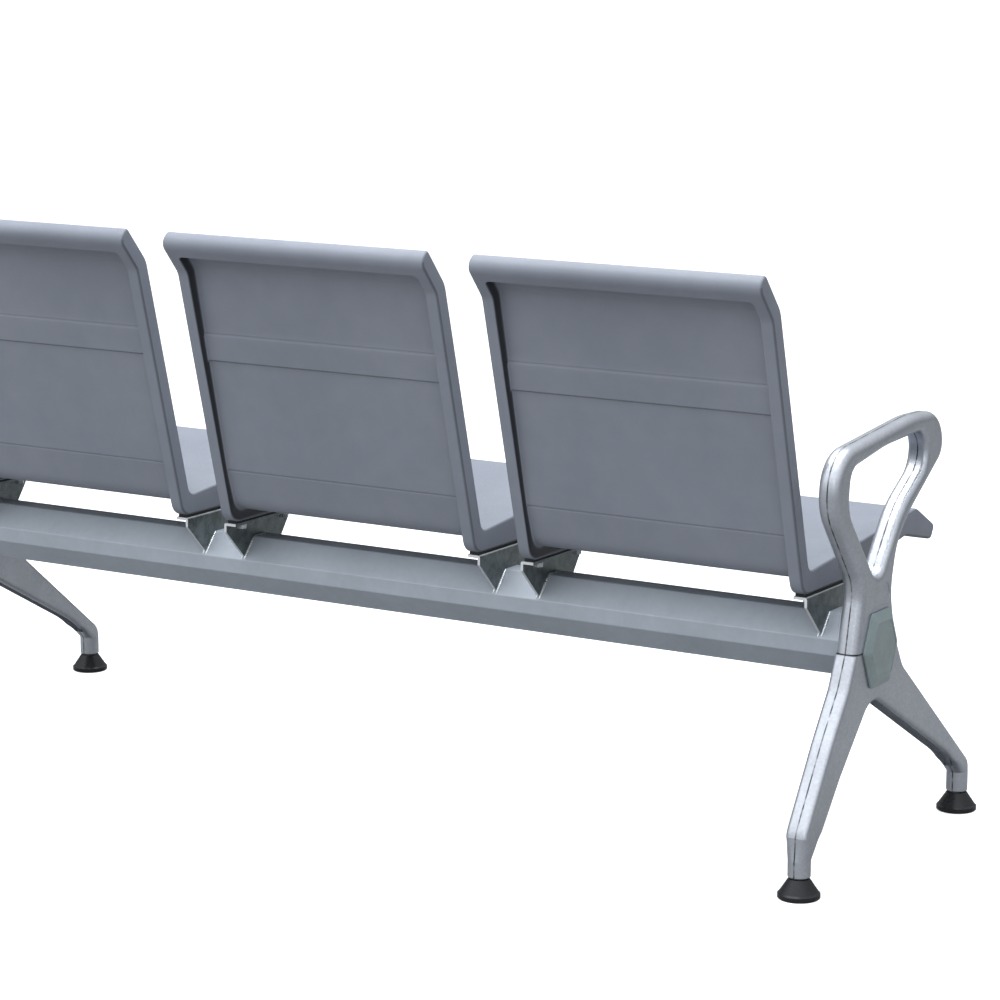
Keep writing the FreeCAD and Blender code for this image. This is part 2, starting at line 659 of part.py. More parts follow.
def make_seat_inserts():
    """Threaded bushes moulded into the rails."""
    bushes = []
    for face_x, inward in bracket_places():
        x = seat_bolt_x(face_x, inward)
        for y in seat_bolt_ys():
            low = V(x, y, bush_bottom(y))
            high = V(x, y, bush_bottom(y) + SEAT_INSERT_LENGTH)
            bushes.append(rod(SEAT_INSERT_RADIUS, low, high).cut(rod(SEAT_BOLT_RADIUS, low, high)))
    return Part.Compound(bushes)


# Seat shells

def sitting_line():
    """Top of the roll, bend of the back, corner, front crest and nose, as (y, z)."""
    corner = (BEAM_Y + JUNCTION_BACK, JUNCTION_Z)
    bend = step(corner, BACK_LEAN, BACK_LENGTH)
    top = step(bend, ROLL_LEAN, ROLL_LENGTH)
    crest = step(corner, SEAT_TILT - 90, SEAT_LENGTH)
    nose = step(crest, -90 - NOSE_TILT, NOSE_LENGTH)
    return top, bend, corner, crest, nose


def offset_line(points, depth):
    """Line at a depth behind and below a sitting line, with mitred corners."""
    moved = []
    for i, point in enumerate(points):
        turns = []
        if i > 0:
            turns.append(math.atan2(point[1] - points[i - 1][1], point[0] - points[i - 1][0]))
        if i < len(points) - 1:
            turns.append(math.atan2(points[i + 1][1] - point[1], points[i + 1][0] - point[0]))
        middle = sum(turns) / len(turns)
        reach = depth / math.cos((turns[0] - turns[-1]) / 2)
        moved.append((point[0] - reach * math.sin(middle), point[1] + reach * math.cos(middle)))
    return moved


def shell_corners():
    """Outer outline of the seat's side rails."""
    top, bend, corner, crest, nose = sitting_line()
    heel, rear_bend, low, _, _ = offset_line([top, bend, corner, crest, nose], BACK_DEPTH)
    lean = math.tan(math.radians(BACK_LEAN))
    foot_y = rear_bend[0] - (rear_bend[1] - RAIL_BOTTOM) * lean
    lip_root_y = crest[0] + LIP_REACH
    lip_root_z = crest[1] - LIP_REACH * math.tan(math.radians(SEAT_TILT)) - SEAT_DEPTH
    lip = step(nose, 180 - NOSE_TILT, LIP_DEPTH)
    return [
        (top[0], top[1], 5),
        (bend[0], bend[1], 40),
        (corner[0], corner[1], 14),
        (crest[0], crest[1], 24),
        (nose[0], nose[1], 7),
        (lip[0], lip[1], 9),
        (lip_root_y, lip_root_z, 12),
        (foot_y - UNDERSIDE_FLAT, RAIL_BOTTOM, 60),
        (foot_y, RAIL_BOTTOM, 24),
        (rear_bend[0], rear_bend[1], 30),
        (heel[0], heel[1], 10),
    ]


def recess_corners():
    """Hollow behind the back and under the seat, between the rails."""
    line = sitting_line()
    top, bend, corner, crest, nose = offset_line(line, WEB)
    heel = offset_line(line, BACK_DEPTH)[0]
    roll = math.radians(ROLL_LEAN)
    mouth = step(heel, ROLL_LEAN + 180, TOP_ROLL)
    inner = (mouth[0] - (BACK_DEPTH - WEB) * math.cos(roll), mouth[1] + (BACK_DEPTH - WEB) * math.sin(roll))
    outer = (mouth[0] + 20 * math.cos(roll), mouth[1] - 20 * math.sin(roll))
    band = []
    for height, rise in ((BAND_HIGH, 0), (BAND_HIGH, BAND_RISE), (BAND_LOW, BAND_RISE), (BAND_LOW, 0)):
        place = step(corner, BACK_LEAN, height)
        band.append(step(place, BACK_LEAN + 90, rise))
    lip = step(nose, 90 - NOSE_TILT, WEB)
    below = step(lip, 180 - NOSE_TILT, 3 * LIP_DEPTH)
    return ([(outer[0], outer[1], 0), (inner[0], inner[1], 3), (bend[0], bend[1], 30)]
            + [(y, z, 0) for y, z in band]
            + [(corner[0], corner[1], 22), (crest[0], crest[1], 18), (lip[0], lip[1], 4),
               (below[0], below[1], 0), (corner[0] + 90, below[1], 0)])


def bush_bottom(y):
    """Height where a threaded bush starts, above the local underside of the rail."""
    root, flat = shell_corners()[6:8]
    slope = (root[1] - flat[1]) / (flat[0] - root[0])
    return RAIL_BOTTOM + max(0, (flat[0] - y) * slope) + SEAT_INSERT_RECESS


def corner_filler(x, toward):
    """Prism that rounds a top corner of the recess; toward is the direction into it along X."""
    outer, inner = recess_corners()[:2]
    through = V(0, outer[0] - inner[0], outer[1] - inner[1])
    down = V(0, -math.sin(math.radians(ROLL_LEAN)), -math.cos(math.radians(ROLL_LEAN)))
    side = V(toward, 0, 0)
    corner = V(x, inner[0], inner[1]).sub(through)
    middle = corner.add((down + side) * RECESS_CORNER)
    on_side = corner.add(down * RECESS_CORNER)
    on_top = corner.add(side * RECESS_CORNER)
    on_arc = middle.sub((down + side) * (RECESS_CORNER / math.sqrt(2)))
    outline = [Part.LineSegment(corner, on_side).toShape(), Part.Arc(on_side, on_arc, on_top).toShape(),
               Part.LineSegment(on_top, corner).toShape()]
    return Part.Face(Part.Wire(outline)).extrude(through * 3)


def recess_tool(left):
    """Solid of the recess, with its inner edges and top corners rounded."""
    start = left + RAIL_WIDTH
    end = left + SEAT_WIDTH - RAIL_WIDTH
    tool = plate(recess_corners(), start, end - start)
    tool = tool.makeFillet(RECESS_ROUND, edges_at(tool, [start, end]))
    return tool.cut(corner_filler(start, 1)).cut(corner_filler(end, -1))


def make_seat(seat_x):
    left = seat_x - SEAT_WIDTH / 2
    body = plate(shell_corners(), left, SEAT_WIDTH)
    body = body.makeFillet(RAIL_EDGE, edges_at(body, [left, left + SEAT_WIDTH]))
    body = body.cut(recess_tool(left))
    for face_x, inward in ((left + BRACKET_INSET, 1), (left + SEAT_WIDTH - BRACKET_INSET, -1)):
        x = seat_bolt_x(face_x, inward)
        for y in seat_bolt_ys():
            body = body.cut(rod(SEAT_INSERT_RADIUS, V(x, y, RAIL_BOTTOM - 1),
                                V(x, y, bush_bottom(y) + SEAT_INSERT_LENGTH)))
    return body


# Levelling feet

def make_pad(x, y):
    """Round foot with a socket that lets the stem turn."""
    shoulder = PAD_RADIUS - PAD_SHOULDER_RADIUS
    outline = [V(0, 0, 0), V(PAD_RADIUS - PAD_CHAMFER, 0, 0), V(PAD_RADIUS, 0, PAD_CHAMFER),
               V(PAD_RADIUS, 0, PAD_RIM - shoulder), V(PAD_SHOULDER_RADIUS, 0, PAD_RIM),
               V(PAD_TOP_RADIUS, 0, PAD_HEIGHT), V(0, 0, PAD_HEIGHT), V(0, 0, 0)]
    body = Part.Face(Part.makePolygon(outline)).revolve(V(0, 0, 0), V(0, 0, 1), 360)
    bore = STEM_RADIUS + RUNNING_FIT
    body = body.cut(rod(bore, V(0, 0, COLLAR_Z), V(0, 0, PAD_HEIGHT + 1)))
    body = body.cut(rod(COLLAR_RADIUS + RUNNING_FIT, V(0, 0, COLLAR_Z - FREE_GAP),
                        V(0, 0, COLLAR_Z + COLLAR_HEIGHT + FREE_GAP)))
    body = body.cut(rod(STEM_HEX / math.sqrt(3) + FREE_GAP, V(0, 0, PAD_HEIGHT - STEM_HEX_HEIGHT - FREE_GAP),
                        V(0, 0, PAD_HEIGHT + 1)))
    body.translate(V(x, y, 0))
    return body


def make_stem(x, y):
    """Screwed stem with a turned collar in the pad and a hexagon for a spanner."""
    body = rod(STEM_RADIUS, V(x, y, COLLAR_Z), V(x, y, STEM_TOP))
    body = body.fuse(rod(COLLAR_RADIUS, V(x, y, COLLAR_Z), V(x, y, COLLAR_Z + COLLAR_HEIGHT)))
    body = body.fuse(hexagon(STEM_HEX, V(x, y, PAD_HEIGHT - STEM_HEX_HEIGHT), STEM_HEX_HEIGHT))
    return body.removeSplitter()


def make_foot_inserts():
    """Threaded bushes pressed into the four posts."""
    bushes = []
    for x in (-LEG_X, LEG_X):
        for y in (FOOT_FRONT_Y, FOOT_REAR_Y):
            low = V(x, y, POST_BOTTOM)
            high = V(x, y, POST_BOTTOM + INSERT_LENGTH)
            bushes.append(rod(INSERT_RADIUS, low, high).cut(rod(STEM_RADIUS + RUNNING_FIT, low, high)))
    return Part.Compound(bushes)


def build():
    """Every node of the bench, by name."""
    nodes = {"beam_tube": make_beam()}
    for name, shape in (("beam_end_plate", make_end_plate()), ("leg_casting", make_leg()),
                        ("arm_casting", make_arm()), ("hub_cap", make_cap()),
                        ("hub_bolts", make_hub_bolts()), ("hub_washers", make_hub_washers())):
        nodes[name + "_right"] = shape
        nodes[name + "_left"] = mirrored(shape)
    for number, seat_x in enumerate(SEAT_XS, 1):
        nodes["seat_%d" % number] = make_seat(seat_x)
    for number, (face_x, inward) in enumerate(bracket_places(), 1):
        nodes["bracket_%d" % number] = make_bracket(face_x, inward)
        nodes["rubber_strip_%d" % number] = make_strip(face_x, inward)
    nodes["bracket_welds"] = make_welds()
    nodes["seat_bolts"] = make_seat_bolts()
    nodes["seat_bolt_washers"] = make_seat_washers()
    nodes["seat_inserts"] = make_seat_inserts()
    nodes["foot_inserts"] = make_foot_inserts()
    for side, x in (("left", -LEG_X), ("right", LEG_X)):
        for end, y in (("front", FOOT_FRONT_Y), ("rear", FOOT_REAR_Y)):
            nodes["foot_pad_%s_%s" % (end, side)] = make_pad(x, y)
            nodes["foot_stem_%s_%s" % (end, side)] = make_stem(x, y)
    return nodes


os.makedirs("parts", exist_ok=True)
for node, shape in build().items():
    shape.exportStep("parts/%s.step" % node)
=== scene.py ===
"""Dresses a three-seat beam bench: moulded seats, silver beam, cast legs and arms, and levelling feet.

Metres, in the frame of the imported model: +X along the bench, the sitter faces -Y, +Z up.
"""
import math

import bmesh
import bpy
from bpy.props import FloatProperty, FloatVectorProperty, IntProperty, PointerProperty
from bpy.types import Operator, Panel, PropertyGroup
from mathutils import Matrix, Vector


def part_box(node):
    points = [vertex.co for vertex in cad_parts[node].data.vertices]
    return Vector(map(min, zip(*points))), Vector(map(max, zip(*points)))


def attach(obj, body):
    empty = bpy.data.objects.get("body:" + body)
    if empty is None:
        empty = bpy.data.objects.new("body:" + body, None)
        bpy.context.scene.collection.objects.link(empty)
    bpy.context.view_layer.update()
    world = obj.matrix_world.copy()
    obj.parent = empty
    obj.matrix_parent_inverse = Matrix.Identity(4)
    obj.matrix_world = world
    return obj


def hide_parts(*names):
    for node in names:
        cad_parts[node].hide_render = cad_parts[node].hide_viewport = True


bl_info = {
    "name": "Beam Bench",
    "version": (1, 0, 0),
    "blender": (4, 5, 0),
    "location": "View3D > Sidebar > Beam Bench",
    "description": "Builds the finish of a three-seat beam bench around its frame",
    "category": "Object",
}

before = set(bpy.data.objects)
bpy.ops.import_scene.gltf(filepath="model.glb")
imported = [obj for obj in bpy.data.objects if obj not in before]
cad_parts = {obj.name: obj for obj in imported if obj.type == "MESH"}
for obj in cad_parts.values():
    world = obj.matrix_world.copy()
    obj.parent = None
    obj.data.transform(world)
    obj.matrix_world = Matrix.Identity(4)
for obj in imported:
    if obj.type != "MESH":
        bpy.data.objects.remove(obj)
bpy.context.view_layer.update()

MM = 0.001
BODY = "bench"
SIDES = ("left", "right")
FEET = [end + "_" + side for end in ("front", "rear") for side in SIDES]


def numbered(prefix):
    """Names of the nodes that are a prefix and a number, in order."""
    names = [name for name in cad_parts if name.startswith(prefix)]
    return sorted(name for name in names if name[len(prefix):].isdigit())


SEATS = numbered("seat_")
BRACKETS = numbered("bracket_")


# Places that other sizes start from

def middle(node):
    """Centre of a node's box."""
    low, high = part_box(node)
    return (low + high) / 2


STRIP_THICKNESS = 3 * MM
STRIP_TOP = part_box("rubber_strip_1")[0].z + STRIP_THICKNESS
BEAM_MIDDLE = middle("beam_tube")
BEAM_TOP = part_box("beam_tube")[1].z
CASTING_X = abs(middle("foot_pad_rear_right").x)
JOINT_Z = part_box("arm_casting_right")[0].z


# Sizes and colours that a user would change

def length(name, text, default, high=2.0):
    """Property for a length in metres."""
    return FloatProperty(name=name, description=text, default=default, min=0.0, max=high,
                         subtype="DISTANCE", unit="LENGTH")


def angle(name, text, default):
    """Property for an angle, set in degrees."""
    return FloatProperty(name=name, description=text, default=math.radians(default),
                         min=0.0, max=math.pi / 2, subtype="ANGLE", unit="ROTATION")


def colour(name, text, default):
    """Property for a colour."""
    return FloatVectorProperty(name=name, description=text, default=default, size=3,
                               min=0.0, max=1.0, subtype="COLOR")


def amount(name, text, default, high=1.0):
    """Property for a share or a factor."""
    return FloatProperty(name=name, description=text, default=default, min=0.0, max=high)


def watts(name, text, default):
    """Property for the power of a lamp."""
    return FloatProperty(name=name, description=text, default=default, min=0.0, max=4000.0,
                         subtype="POWER", unit="POWER")


class SeatShape(PropertyGroup):
    """Side profile and moulding details of one seat."""
    junction_back: length("Corner behind beam", "Corner of back and seat, behind the beam's middle",
                          74.5 * MM)
    junction_up: length("Corner above beam", "Corner of back and seat, above the beam's middle", 108.1 * MM)
    seat_tilt: angle("Seat tilt", "Rise of the seat to the front", 5.6)
    seat_length: length("Seat length", "Corner to front crest", 336.6 * MM)
    nose_tilt: angle("Nose tilt", "Fall of the front edge", 29.2)
    nose_length: length("Nose length", "Front crest to the tip", 71.0 * MM)
    back_lean: angle("Back lean", "Lean of the back from upright", 14.5)
    back_length: length("Back length", "Corner to the bend under the roll", 376.5 * MM)
    roll_lean: angle("Roll lean", "Lean of the top roll from upright", 40.2)
    roll_length: length("Roll length", "Bend to the top edge", 68.0 * MM)
    back_depth: length("Rail depth", "Depth of the side rails on the back", 25.5 * MM)
    seat_depth: length("Pan depth", "Depth of the side rails under the front crest", 32.0 * MM)
    lip_depth: length("Lip depth", "Height of the front lip", 23.0 * MM)
    lip_reach: length("Lip reach", "Front crest back to the root of the lip", 34.0 * MM)
    underside_flat: length("Level underside", "Level length of the rails over the brackets", 117.0 * MM)
    rail_width: length("Rail width", "Width of each side rail", 20.0 * MM)
    edge_radius: length("Edge radius", "Rounding of the outer edges", 4.0 * MM)
    web: length("Web", "Thickness of the panel between the rails, under the roll", 8.0 * MM)
    web_hip: length("Web at the hip", "Thickness of the panel at the lowest crease", 17.0 * MM)
    web_foot: length("Web at the corner", "Thickness of the panel at the corner of back and seat",
                     13.5 * MM)
    wall_run: length("Wall run", "Width over which the recess wall falls", 3.0 * MM)
    recess_drop: length("Recess drop", "Top edge down to the recess", 24.5 * MM)
    recess_corner: length("Recess corner", "Rounding of the recess's top corners", 9.0 * MM)
    band_low: length("Band low", "Lower edge of the raised band, from the corner", 229.5 * MM)
    band_high: length("Band high", "Upper edge of the raised band, from the corner", 272.0 * MM)
    band_rise: length("Band rise", "Height of the raised band", 3.0 * MM)
    hip: length("Hip crease", "Lowest crease, from the corner", 56.0 * MM)
    crease_depth: length("Crease depth", "Depth of the fine groove at each crease", 0.9 * MM)
    dish_inset: length("Dish inset", "Side of the seat in to the sitting dish", 26.0 * MM)
    dish_depth: length("Dish depth", "Depth of the sitting dish", 1.2 * MM)
    arc_steps: IntProperty(name="Arc steps", description="Steps in a quarter turn of the side outline",
                           default=20, min=4, max=64)


class WeldShape(PropertyGroup):
    """Beads between the brackets and the beam."""
    radius: length("Bead radius", "Radius of a bead", 2.6 * MM)
    ripple: length("Ripple", "Distance from one ripple to the next", 3.2 * MM)
    tail: length("Tail", "Run of the bead past the plate's tip", 7.0 * MM)


class Finishes(PropertyGroup):
    """Colours of the surfaces."""
    shell: colour("Seat shell", "Moulded blue-grey", (0.198, 0.216, 0.256))
    shell_dark: colour("Seat shell, dark", "Darker drift of the moulded colour", (0.174, 0.192, 0.229))
    paint: colour("Beam", "Silver-grey powder coat", (0.355, 0.393, 0.44))
    casting: colour("Casting", "Die-cast aluminium", (0.455, 0.48, 0.525))
    plate: colour("Bracket", "Face of the bracket plates", (0.16, 0.185, 0.185))
    cap: colour("Hub cap", "Grey-green plastic", (0.205, 0.255, 0.262))
    pad: colour("Foot pad", "Black nylon", (0.012, 0.013, 0.015))
    zinc: colour("Zinc", "Zinc-plated steel", (0.62, 0.64, 0.66))
    brass: colour("Brass", "Threaded bushes", (0.60, 0.43, 0.18))
    rubber: colour("Rubber", "Strips under the seats", (0.010, 0.010, 0.011))
    sawn: colour("End plates", "Raw steel of the beam's end plates", (0.40, 0.41, 0.42))
    weld: colour("Weld", "Bright metal of the beads", (0.66, 0.69, 0.71))
    dust: colour("Dust", "Dust on the foot pads", (0.22, 0.22, 0.21))
    grain: amount("Grain", "Strength of the moulded grain", 0.12)
    speckle: amount("Speckle", "Strength of the casting's speckle", 0.30)


class StageShape(PropertyGroup):
    """Camera, floor and light."""
    lens: FloatProperty(name="Lens", description="Focal length on a 36 mm square frame, in mm",
                        default=121.5, min=10.0, max=300.0)
    floor_half: length("Floor", "Half width of the floor", 60.0, high=200.0)
    floor_tone: colour("Floor tone", "Colour of the floor", (0.62, 0.625, 0.63))
    floor_glow: amount("Floor glow", "Light that the floor adds towards the camera", 0.60)
    floor_return: amount("Floor return", "Share of its tone that the floor throws back on the bench", 0.42)
    zenith: amount("Zenith", "Strength of the light from straight above", 1.25, high=4.0)
    horizon: amount("Horizon", "Strength of the light from the sides", 0.22, high=4.0)
    backdrop: amount("Backdrop", "Light that the sky adds towards the camera alone", 0.85)
    rear_sky: amount("Rear sky", "Strength that the side behind the bench adds", 0.70, high=4.0)
    key: watts("Key", "Power of the large lamp on the rear side", 24.0)
    top: watts("Top", "Power of the lamp overhead", 160.0)
    strip: watts("Strip", "Power of the narrow lamp beside the camera", 9.0)


# Shader groups and materials

def add_node(tree, kind, **values):
    """Shader node with some of its own settings."""
    node = tree.nodes.new(kind)
    for name, value in values.items():
        setattr(node, name, value)
    return node


def wire(tree, source, target):
    """Link from an output to an input, or a plain value set on the input."""
    if isinstance(source, bpy.types.NodeSocket):
        tree.links.new(source, target)
    else:
        target.default_value = source


def group_tree(name, inputs, outputs):
    """Empty node group: inputs are (name, type, default) and outputs are (name, type)."""
    tree = bpy.data.node_groups.new(name, "ShaderNodeTree")
    for label, kind, default in inputs:
        socket = tree.interface.new_socket(name=label, in_out="INPUT", socket_type="NodeSocket" + kind)
        socket.default_value = default
    for label, kind in outputs:
        tree.interface.new_socket(name=label, in_out="OUTPUT", socket_type="NodeSocket" + kind)
    start = tree.nodes.new("NodeGroupInput")
    end = tree.nodes.new("NodeGroupOutput")
    return tree, start, end


def maths(tree, operation, first, second=0.0):
    """Math node on sockets or numbers; gives its output."""
    node = add_node(tree, "ShaderNodeMath", operation=operation)
    wire(tree, first, node.inputs[0])
    wire(tree, second, node.inputs[1])
    return node.outputs[0]


def total(tree, first, second):
    """Sum of two sockets or numbers."""
    return maths(tree, "ADD", first, second)


def product(tree, first, second):
    """Product of two sockets or numbers."""
    return maths(tree, "MULTIPLY", first, second)


def gap(tree, first, second):
    """Difference of two sockets or numbers, without its sign."""
    return maths(tree, "ABSOLUTE", maths(tree, "SUBTRACT", first, second))


def noise(tree, place, scale, detail=3.0, roughness=0.5):
    """Noise texture's value; scale is a number or a socket."""
    node = add_node(tree, "ShaderNodeTexNoise")
    for label, value in (("Vector", place), ("Scale", scale), ("Detail", detail), ("Roughness", roughness)):
        wire(tree, value, node.inputs[label])
    return node.outputs["Fac"]


def band(tree, value, low, high, least=0.0, most=1.0, kind="LINEAR"):
    """Value spread from least at low to most at high, clamped."""
    node = add_node(tree, "ShaderNodeMapRange", clamp=True, interpolation_type=kind)
    limits = {"From Min": low, "From Max": high, "To Min": least, "To Max": most}
    for label, number in limits.items():
        node.inputs[label].default_value = number
    wire(tree, value, node.inputs["Value"])
    return node.outputs["Result"]


def mix_colour(tree, share, first, second):
    """Mix of two colours or colour sockets by a share."""
    node = add_node(tree, "ShaderNodeMix", data_type="RGBA")
    wire(tree, share, node.inputs["Factor"])
    wire(tree, first, node.inputs["A"])
    wire(tree, second, node.inputs["B"])
    return node.outputs["Result"]


def coordinate(tree, kind):
    """Coordinate socket; Object is the point on the piece at rest, in metres."""
    return add_node(tree, "ShaderNodeTexCoord").outputs[kind]


def parts_of(tree, vector):
    """X, Y and Z sockets of a vector."""
    split = add_node(tree, "ShaderNodeSeparateXYZ")
    wire(tree, vector, split.inputs[0])
    return split.outputs


def mottle_group():
    """Soft drift between two colours in large and small patches."""
    tree, start, end = group_tree(
        "Mottle",
        [("Light", "Color", (1, 1, 1, 1)), ("Dark", "Color", (0.5, 0.5, 0.5, 1)), ("Scale", "Float", 10.0)],
        [("Colour", "Color"), ("Patch", "Float")])
    place = coordinate(tree, "Object")
    scale = start.outputs["Scale"]
    wide = noise(tree, place, scale, detail=4.0, roughness=0.6)
    fine = noise(tree, place, product(tree, scale, 9.0))
    drift = total(tree, product(tree, wide, 0.7), product(tree, fine, 0.3))
    patch = band(tree, drift, 0.38, 0.62)
    tone = mix_colour(tree, patch, start.outputs["Dark"], start.outputs["Light"])
    wire(tree, tone, end.inputs["Colour"])
    wire(tree, patch, end.inputs["Patch"])
    return tree


def grain_group():
    """Fine pebbled surface; Scale is in cells per metre."""
    tree, start, end = group_tree(
        "Grain", [("Scale", "Float", 1200.0)], [("Height", "Float"), ("Pits", "Float")])
    place = coordinate(tree, "Object")
    scale = start.outputs["Scale"]
    cells = add_node(tree, "ShaderNodeTexVoronoi", feature="SMOOTH_F1")
    wire(tree, place, cells.inputs["Vector"])
    wire(tree, scale, cells.inputs["Scale"])
    rough = noise(tree, place, product(tree, scale, 0.45), roughness=0.6)
    wire(tree, total(tree, cells.outputs["Distance"], rough), end.inputs["Height"])
    wire(tree, band(tree, rough, 0.35, 0.7), end.inputs["Pits"])
    return tree


def seam_group():
    """Broken line where the two halves of a mould met, and the line where the arm stands on the leg."""
    tree, start, end = group_tree(
        "Seam",
        [("Middle", "Float", 0.8), ("Half Width", "Float", 0.0004), ("Joint", "Float", 0.3)],
        [("Mask", "Float"), ("Height", "Float")])
    place = coordinate(tree, "Object")
    half_width = start.outputs["Half Width"]
    side, _, up = parts_of(tree, place)
    off_middle = gap(tree, maths(tree, "ABSOLUTE", side), start.outputs["Middle"])
    off_joint = gap(tree, up, start.outputs["Joint"])
    line = band(tree, maths(tree, "DIVIDE", off_middle, half_width), 2.0, 0.6)
    broken = band(tree, noise(tree, place, 60.0), 0.30, 0.55)
    joint = band(tree, maths(tree, "DIVIDE", off_joint, half_width), 1.8, 0.8)
    mask = maths(tree, "MAXIMUM", product(tree, line, broken), joint)
    wire(tree, mask, end.inputs["Mask"])
    wire(tree, product(tree, mask, -1.0), end.inputs["Height"])
    return tree


def cut_edge_group():
    """Mask of the sheared edges of a plate whose faces look along X, apart from its level ones."""
    tree, start, end = group_tree("Cut Edge", [("Softness", "Float", 0.25)], [("Mask", "Float")])
    side, _, up = parts_of(tree, coordinate(tree, "Normal"))
    turned = maths(tree, "SUBTRACT", 1.0, maths(tree, "ABSOLUTE", side))
    edge = maths(tree, "SUBTRACT", turned, start.outputs["Softness"])
    steep = band(tree, maths(tree, "ABSOLUTE", up), 0.995, 0.9)
    wire(tree, product(tree, band(tree, edge, 0.0, 0.4), steep), end.inputs["Mask"])
    return tree


def dust_group():
    """Mask of specks of dust, thickest at the floor and gone at the height Top."""
    tree, start, end = group_tree("Dust", [("Top", "Float", 0.10)], [("Mask", "Float")])
    place = coordinate(tree, "Object")
    up = parts_of(tree, place)["Z"]
    low = maths(tree, "SUBTRACT", 1.0, maths(tree, "DIVIDE", up, start.outputs["Top"]))
    speck = band(tree, noise(tree, place, 420.0, detail=5.0, roughness=0.7), 0.42, 0.66)
    wire(tree, product(tree, band(tree, low, 0.0, 1.0), speck), end.inputs["Mask"])
    return tree


GROUP_MAKERS = {"Mottle": mottle_group, "Grain": grain_group, "Seam": seam_group,
                "Cut Edge": cut_edge_group, "Dust": dust_group}


def place_group(tree, name, **values):
    """Puts a shared group in a material with its own values."""
    shared = bpy.data.node_groups.get(name) or GROUP_MAKERS[name]()
    node = add_node(tree, "ShaderNodeGroup", node_tree=shared)
    for label, value in values.items():
        node.inputs[label.replace("_", " ")].default_value = value
    return node


SEAM_AND_SHADE_TONE = 0.10  # tone of a dark seam line and of the seats' painted shade, as a share of the colour beside it


def rgba(tone, factor=1.0):
    """Colour with full opacity, made lighter or darker by a factor."""
    return tuple(min(1.0, part * factor) for part in tone) + (1.0,)


def new_material(name, metallic=0.0, specular=0.5):
    """Material with a Principled shader whose fixed values are set on its own sockets."""
    made = bpy.data.materials.new(name)
    made.use_nodes = True
    tree = made.node_tree
    shader = tree.nodes["Principled BSDF"]
    shader.inputs["Metallic"].default_value = metallic
    shader.inputs["Specular IOR Level"].default_value = specular
    return made, tree, shader


def relief(tree, shader, height, strength, distance):
    """Bump from a height socket into the shader's normal."""
    bump = add_node(tree, "ShaderNodeBump")
    bump.inputs["Strength"].default_value = strength
    bump.inputs["Distance"].default_value = distance
    wire(tree, height, bump.inputs["Height"])
    wire(tree, bump.outputs["Normal"], shader.inputs["Normal"])


def roughness_from(tree, shader, value, low, high):
    """Roughness that varies from low to high with a value."""
    wire(tree, band(tree, value, 0.0, 1.0, low, high), shader.inputs["Roughness"])


def mottled(tree, tone, light, dark, scale):
    """Mottle of one tone, from a lighter to a darker factor of it."""
    return place_group(tree, "Mottle", Light=rgba(tone, light), Dark=rgba(tone, dark), Scale=scale)


def pebbled(tree, shader, cells, strength, distance=0.3 * MM):
    """Grain in the shader's normal, with its number of cells per metre."""
    grain = place_group(tree, "Grain", Scale=cells)
    relief(tree, shader, grain.outputs["Height"], strength, distance)
    return grain


def shell_material(finish):
    """Moulded skin of the seats: matte and finely pebbled, darkened by painted shade on the recess walls,
    in the creases and along the rounded side edges, where a mesh attribute marks it.
    """
    made, tree, shader = new_material("moulded_shell", specular=0.42)
    tone = place_group(tree, "Mottle", Light=rgba(finish.shell), Dark=rgba(finish.shell_dark), Scale=3.0)
    # Painted shade: the mesh attribute darkens the colour on the recess walls, in the creases and along the
    # rounded side edges
    line = add_node(tree, "ShaderNodeAttribute", attribute_name="shade_line").outputs["Fac"]
    skin = mix_colour(tree, line, tone.outputs["Colour"], rgba(finish.shell, SEAM_AND_SHADE_TONE))
    wire(tree, skin, shader.inputs["Base Color"])
    grain = pebbled(tree, shader, 900.0, finish.grain)
    roughness_from(tree, shader, grain.outputs["Pits"], 0.46, 0.60)
    return made


def paint_material(finish):
    """Silver-grey powder coat of the beam, with fine orange peel."""
    made, tree, shader = new_material("silver_powder_coat", metallic=0.30, specular=0.25)
    tone = mottled(tree, finish.paint, 1.04, 0.93, 9.0)
    wire(tree, tone.outputs["Colour"], shader.inputs["Base Color"])
    grain = pebbled(tree, shader, 700.0, 0.10)
    roughness_from(tree, shader, grain.outputs["Pits"], 0.46, 0.60)
    return made


def casting_material(finish):
    """Die-cast aluminium, blasted to a satin speckle, with dark lines at the mould's seam and the joint."""
    made, tree, shader = new_material("satin_casting", metallic=0.80)
    tone = mottled(tree, finish.casting, 1.03, 0.92, 14.0)
    seam = place_group(tree, "Seam", Middle=CASTING_X, Half_Width=0.75 * MM, Joint=JOINT_Z)
    grain = place_group(tree, "Grain", Scale=560.0)
    pits = product(tree, grain.outputs["Pits"], finish.speckle)
    pitted = mix_colour(tree, pits, tone.outputs["Colour"], rgba(finish.casting, 0.52))
    lined = mix_colour(tree, seam.outputs["Mask"], pitted, rgba(finish.casting, SEAM_AND_SHADE_TONE))
    wire(tree, lined, shader.inputs["Base Color"])
    roughness_from(tree, shader, grain.outputs["Pits"], 0.30, 0.44)
    height = total(tree, product(tree, grain.outputs["Height"], finish.speckle), seam.outputs["Height"])
    relief(tree, shader, height, 0.40, 0.4 * MM)
    return made


def plate_material(finish):
    """Bracket plate: mottled dark faces and bright sheared edges."""
    made, tree, shader = new_material("bracket_plate", metallic=0.75)
    tone = mottled(tree, finish.plate, 1.25, 0.55, 55.0)
    edge = place_group(tree, "Cut Edge", Softness=0.25)
    skin = mix_colour(tree, edge.outputs["Mask"], tone.outputs["Colour"], rgba(finish.zinc, 1.2))
    wire(tree, skin, shader.inputs["Base Color"])
    roughness_from(tree, shader, tone.outputs["Patch"], 0.30, 0.46)
    pebbled(tree, shader, 500.0, 0.15)
    return made


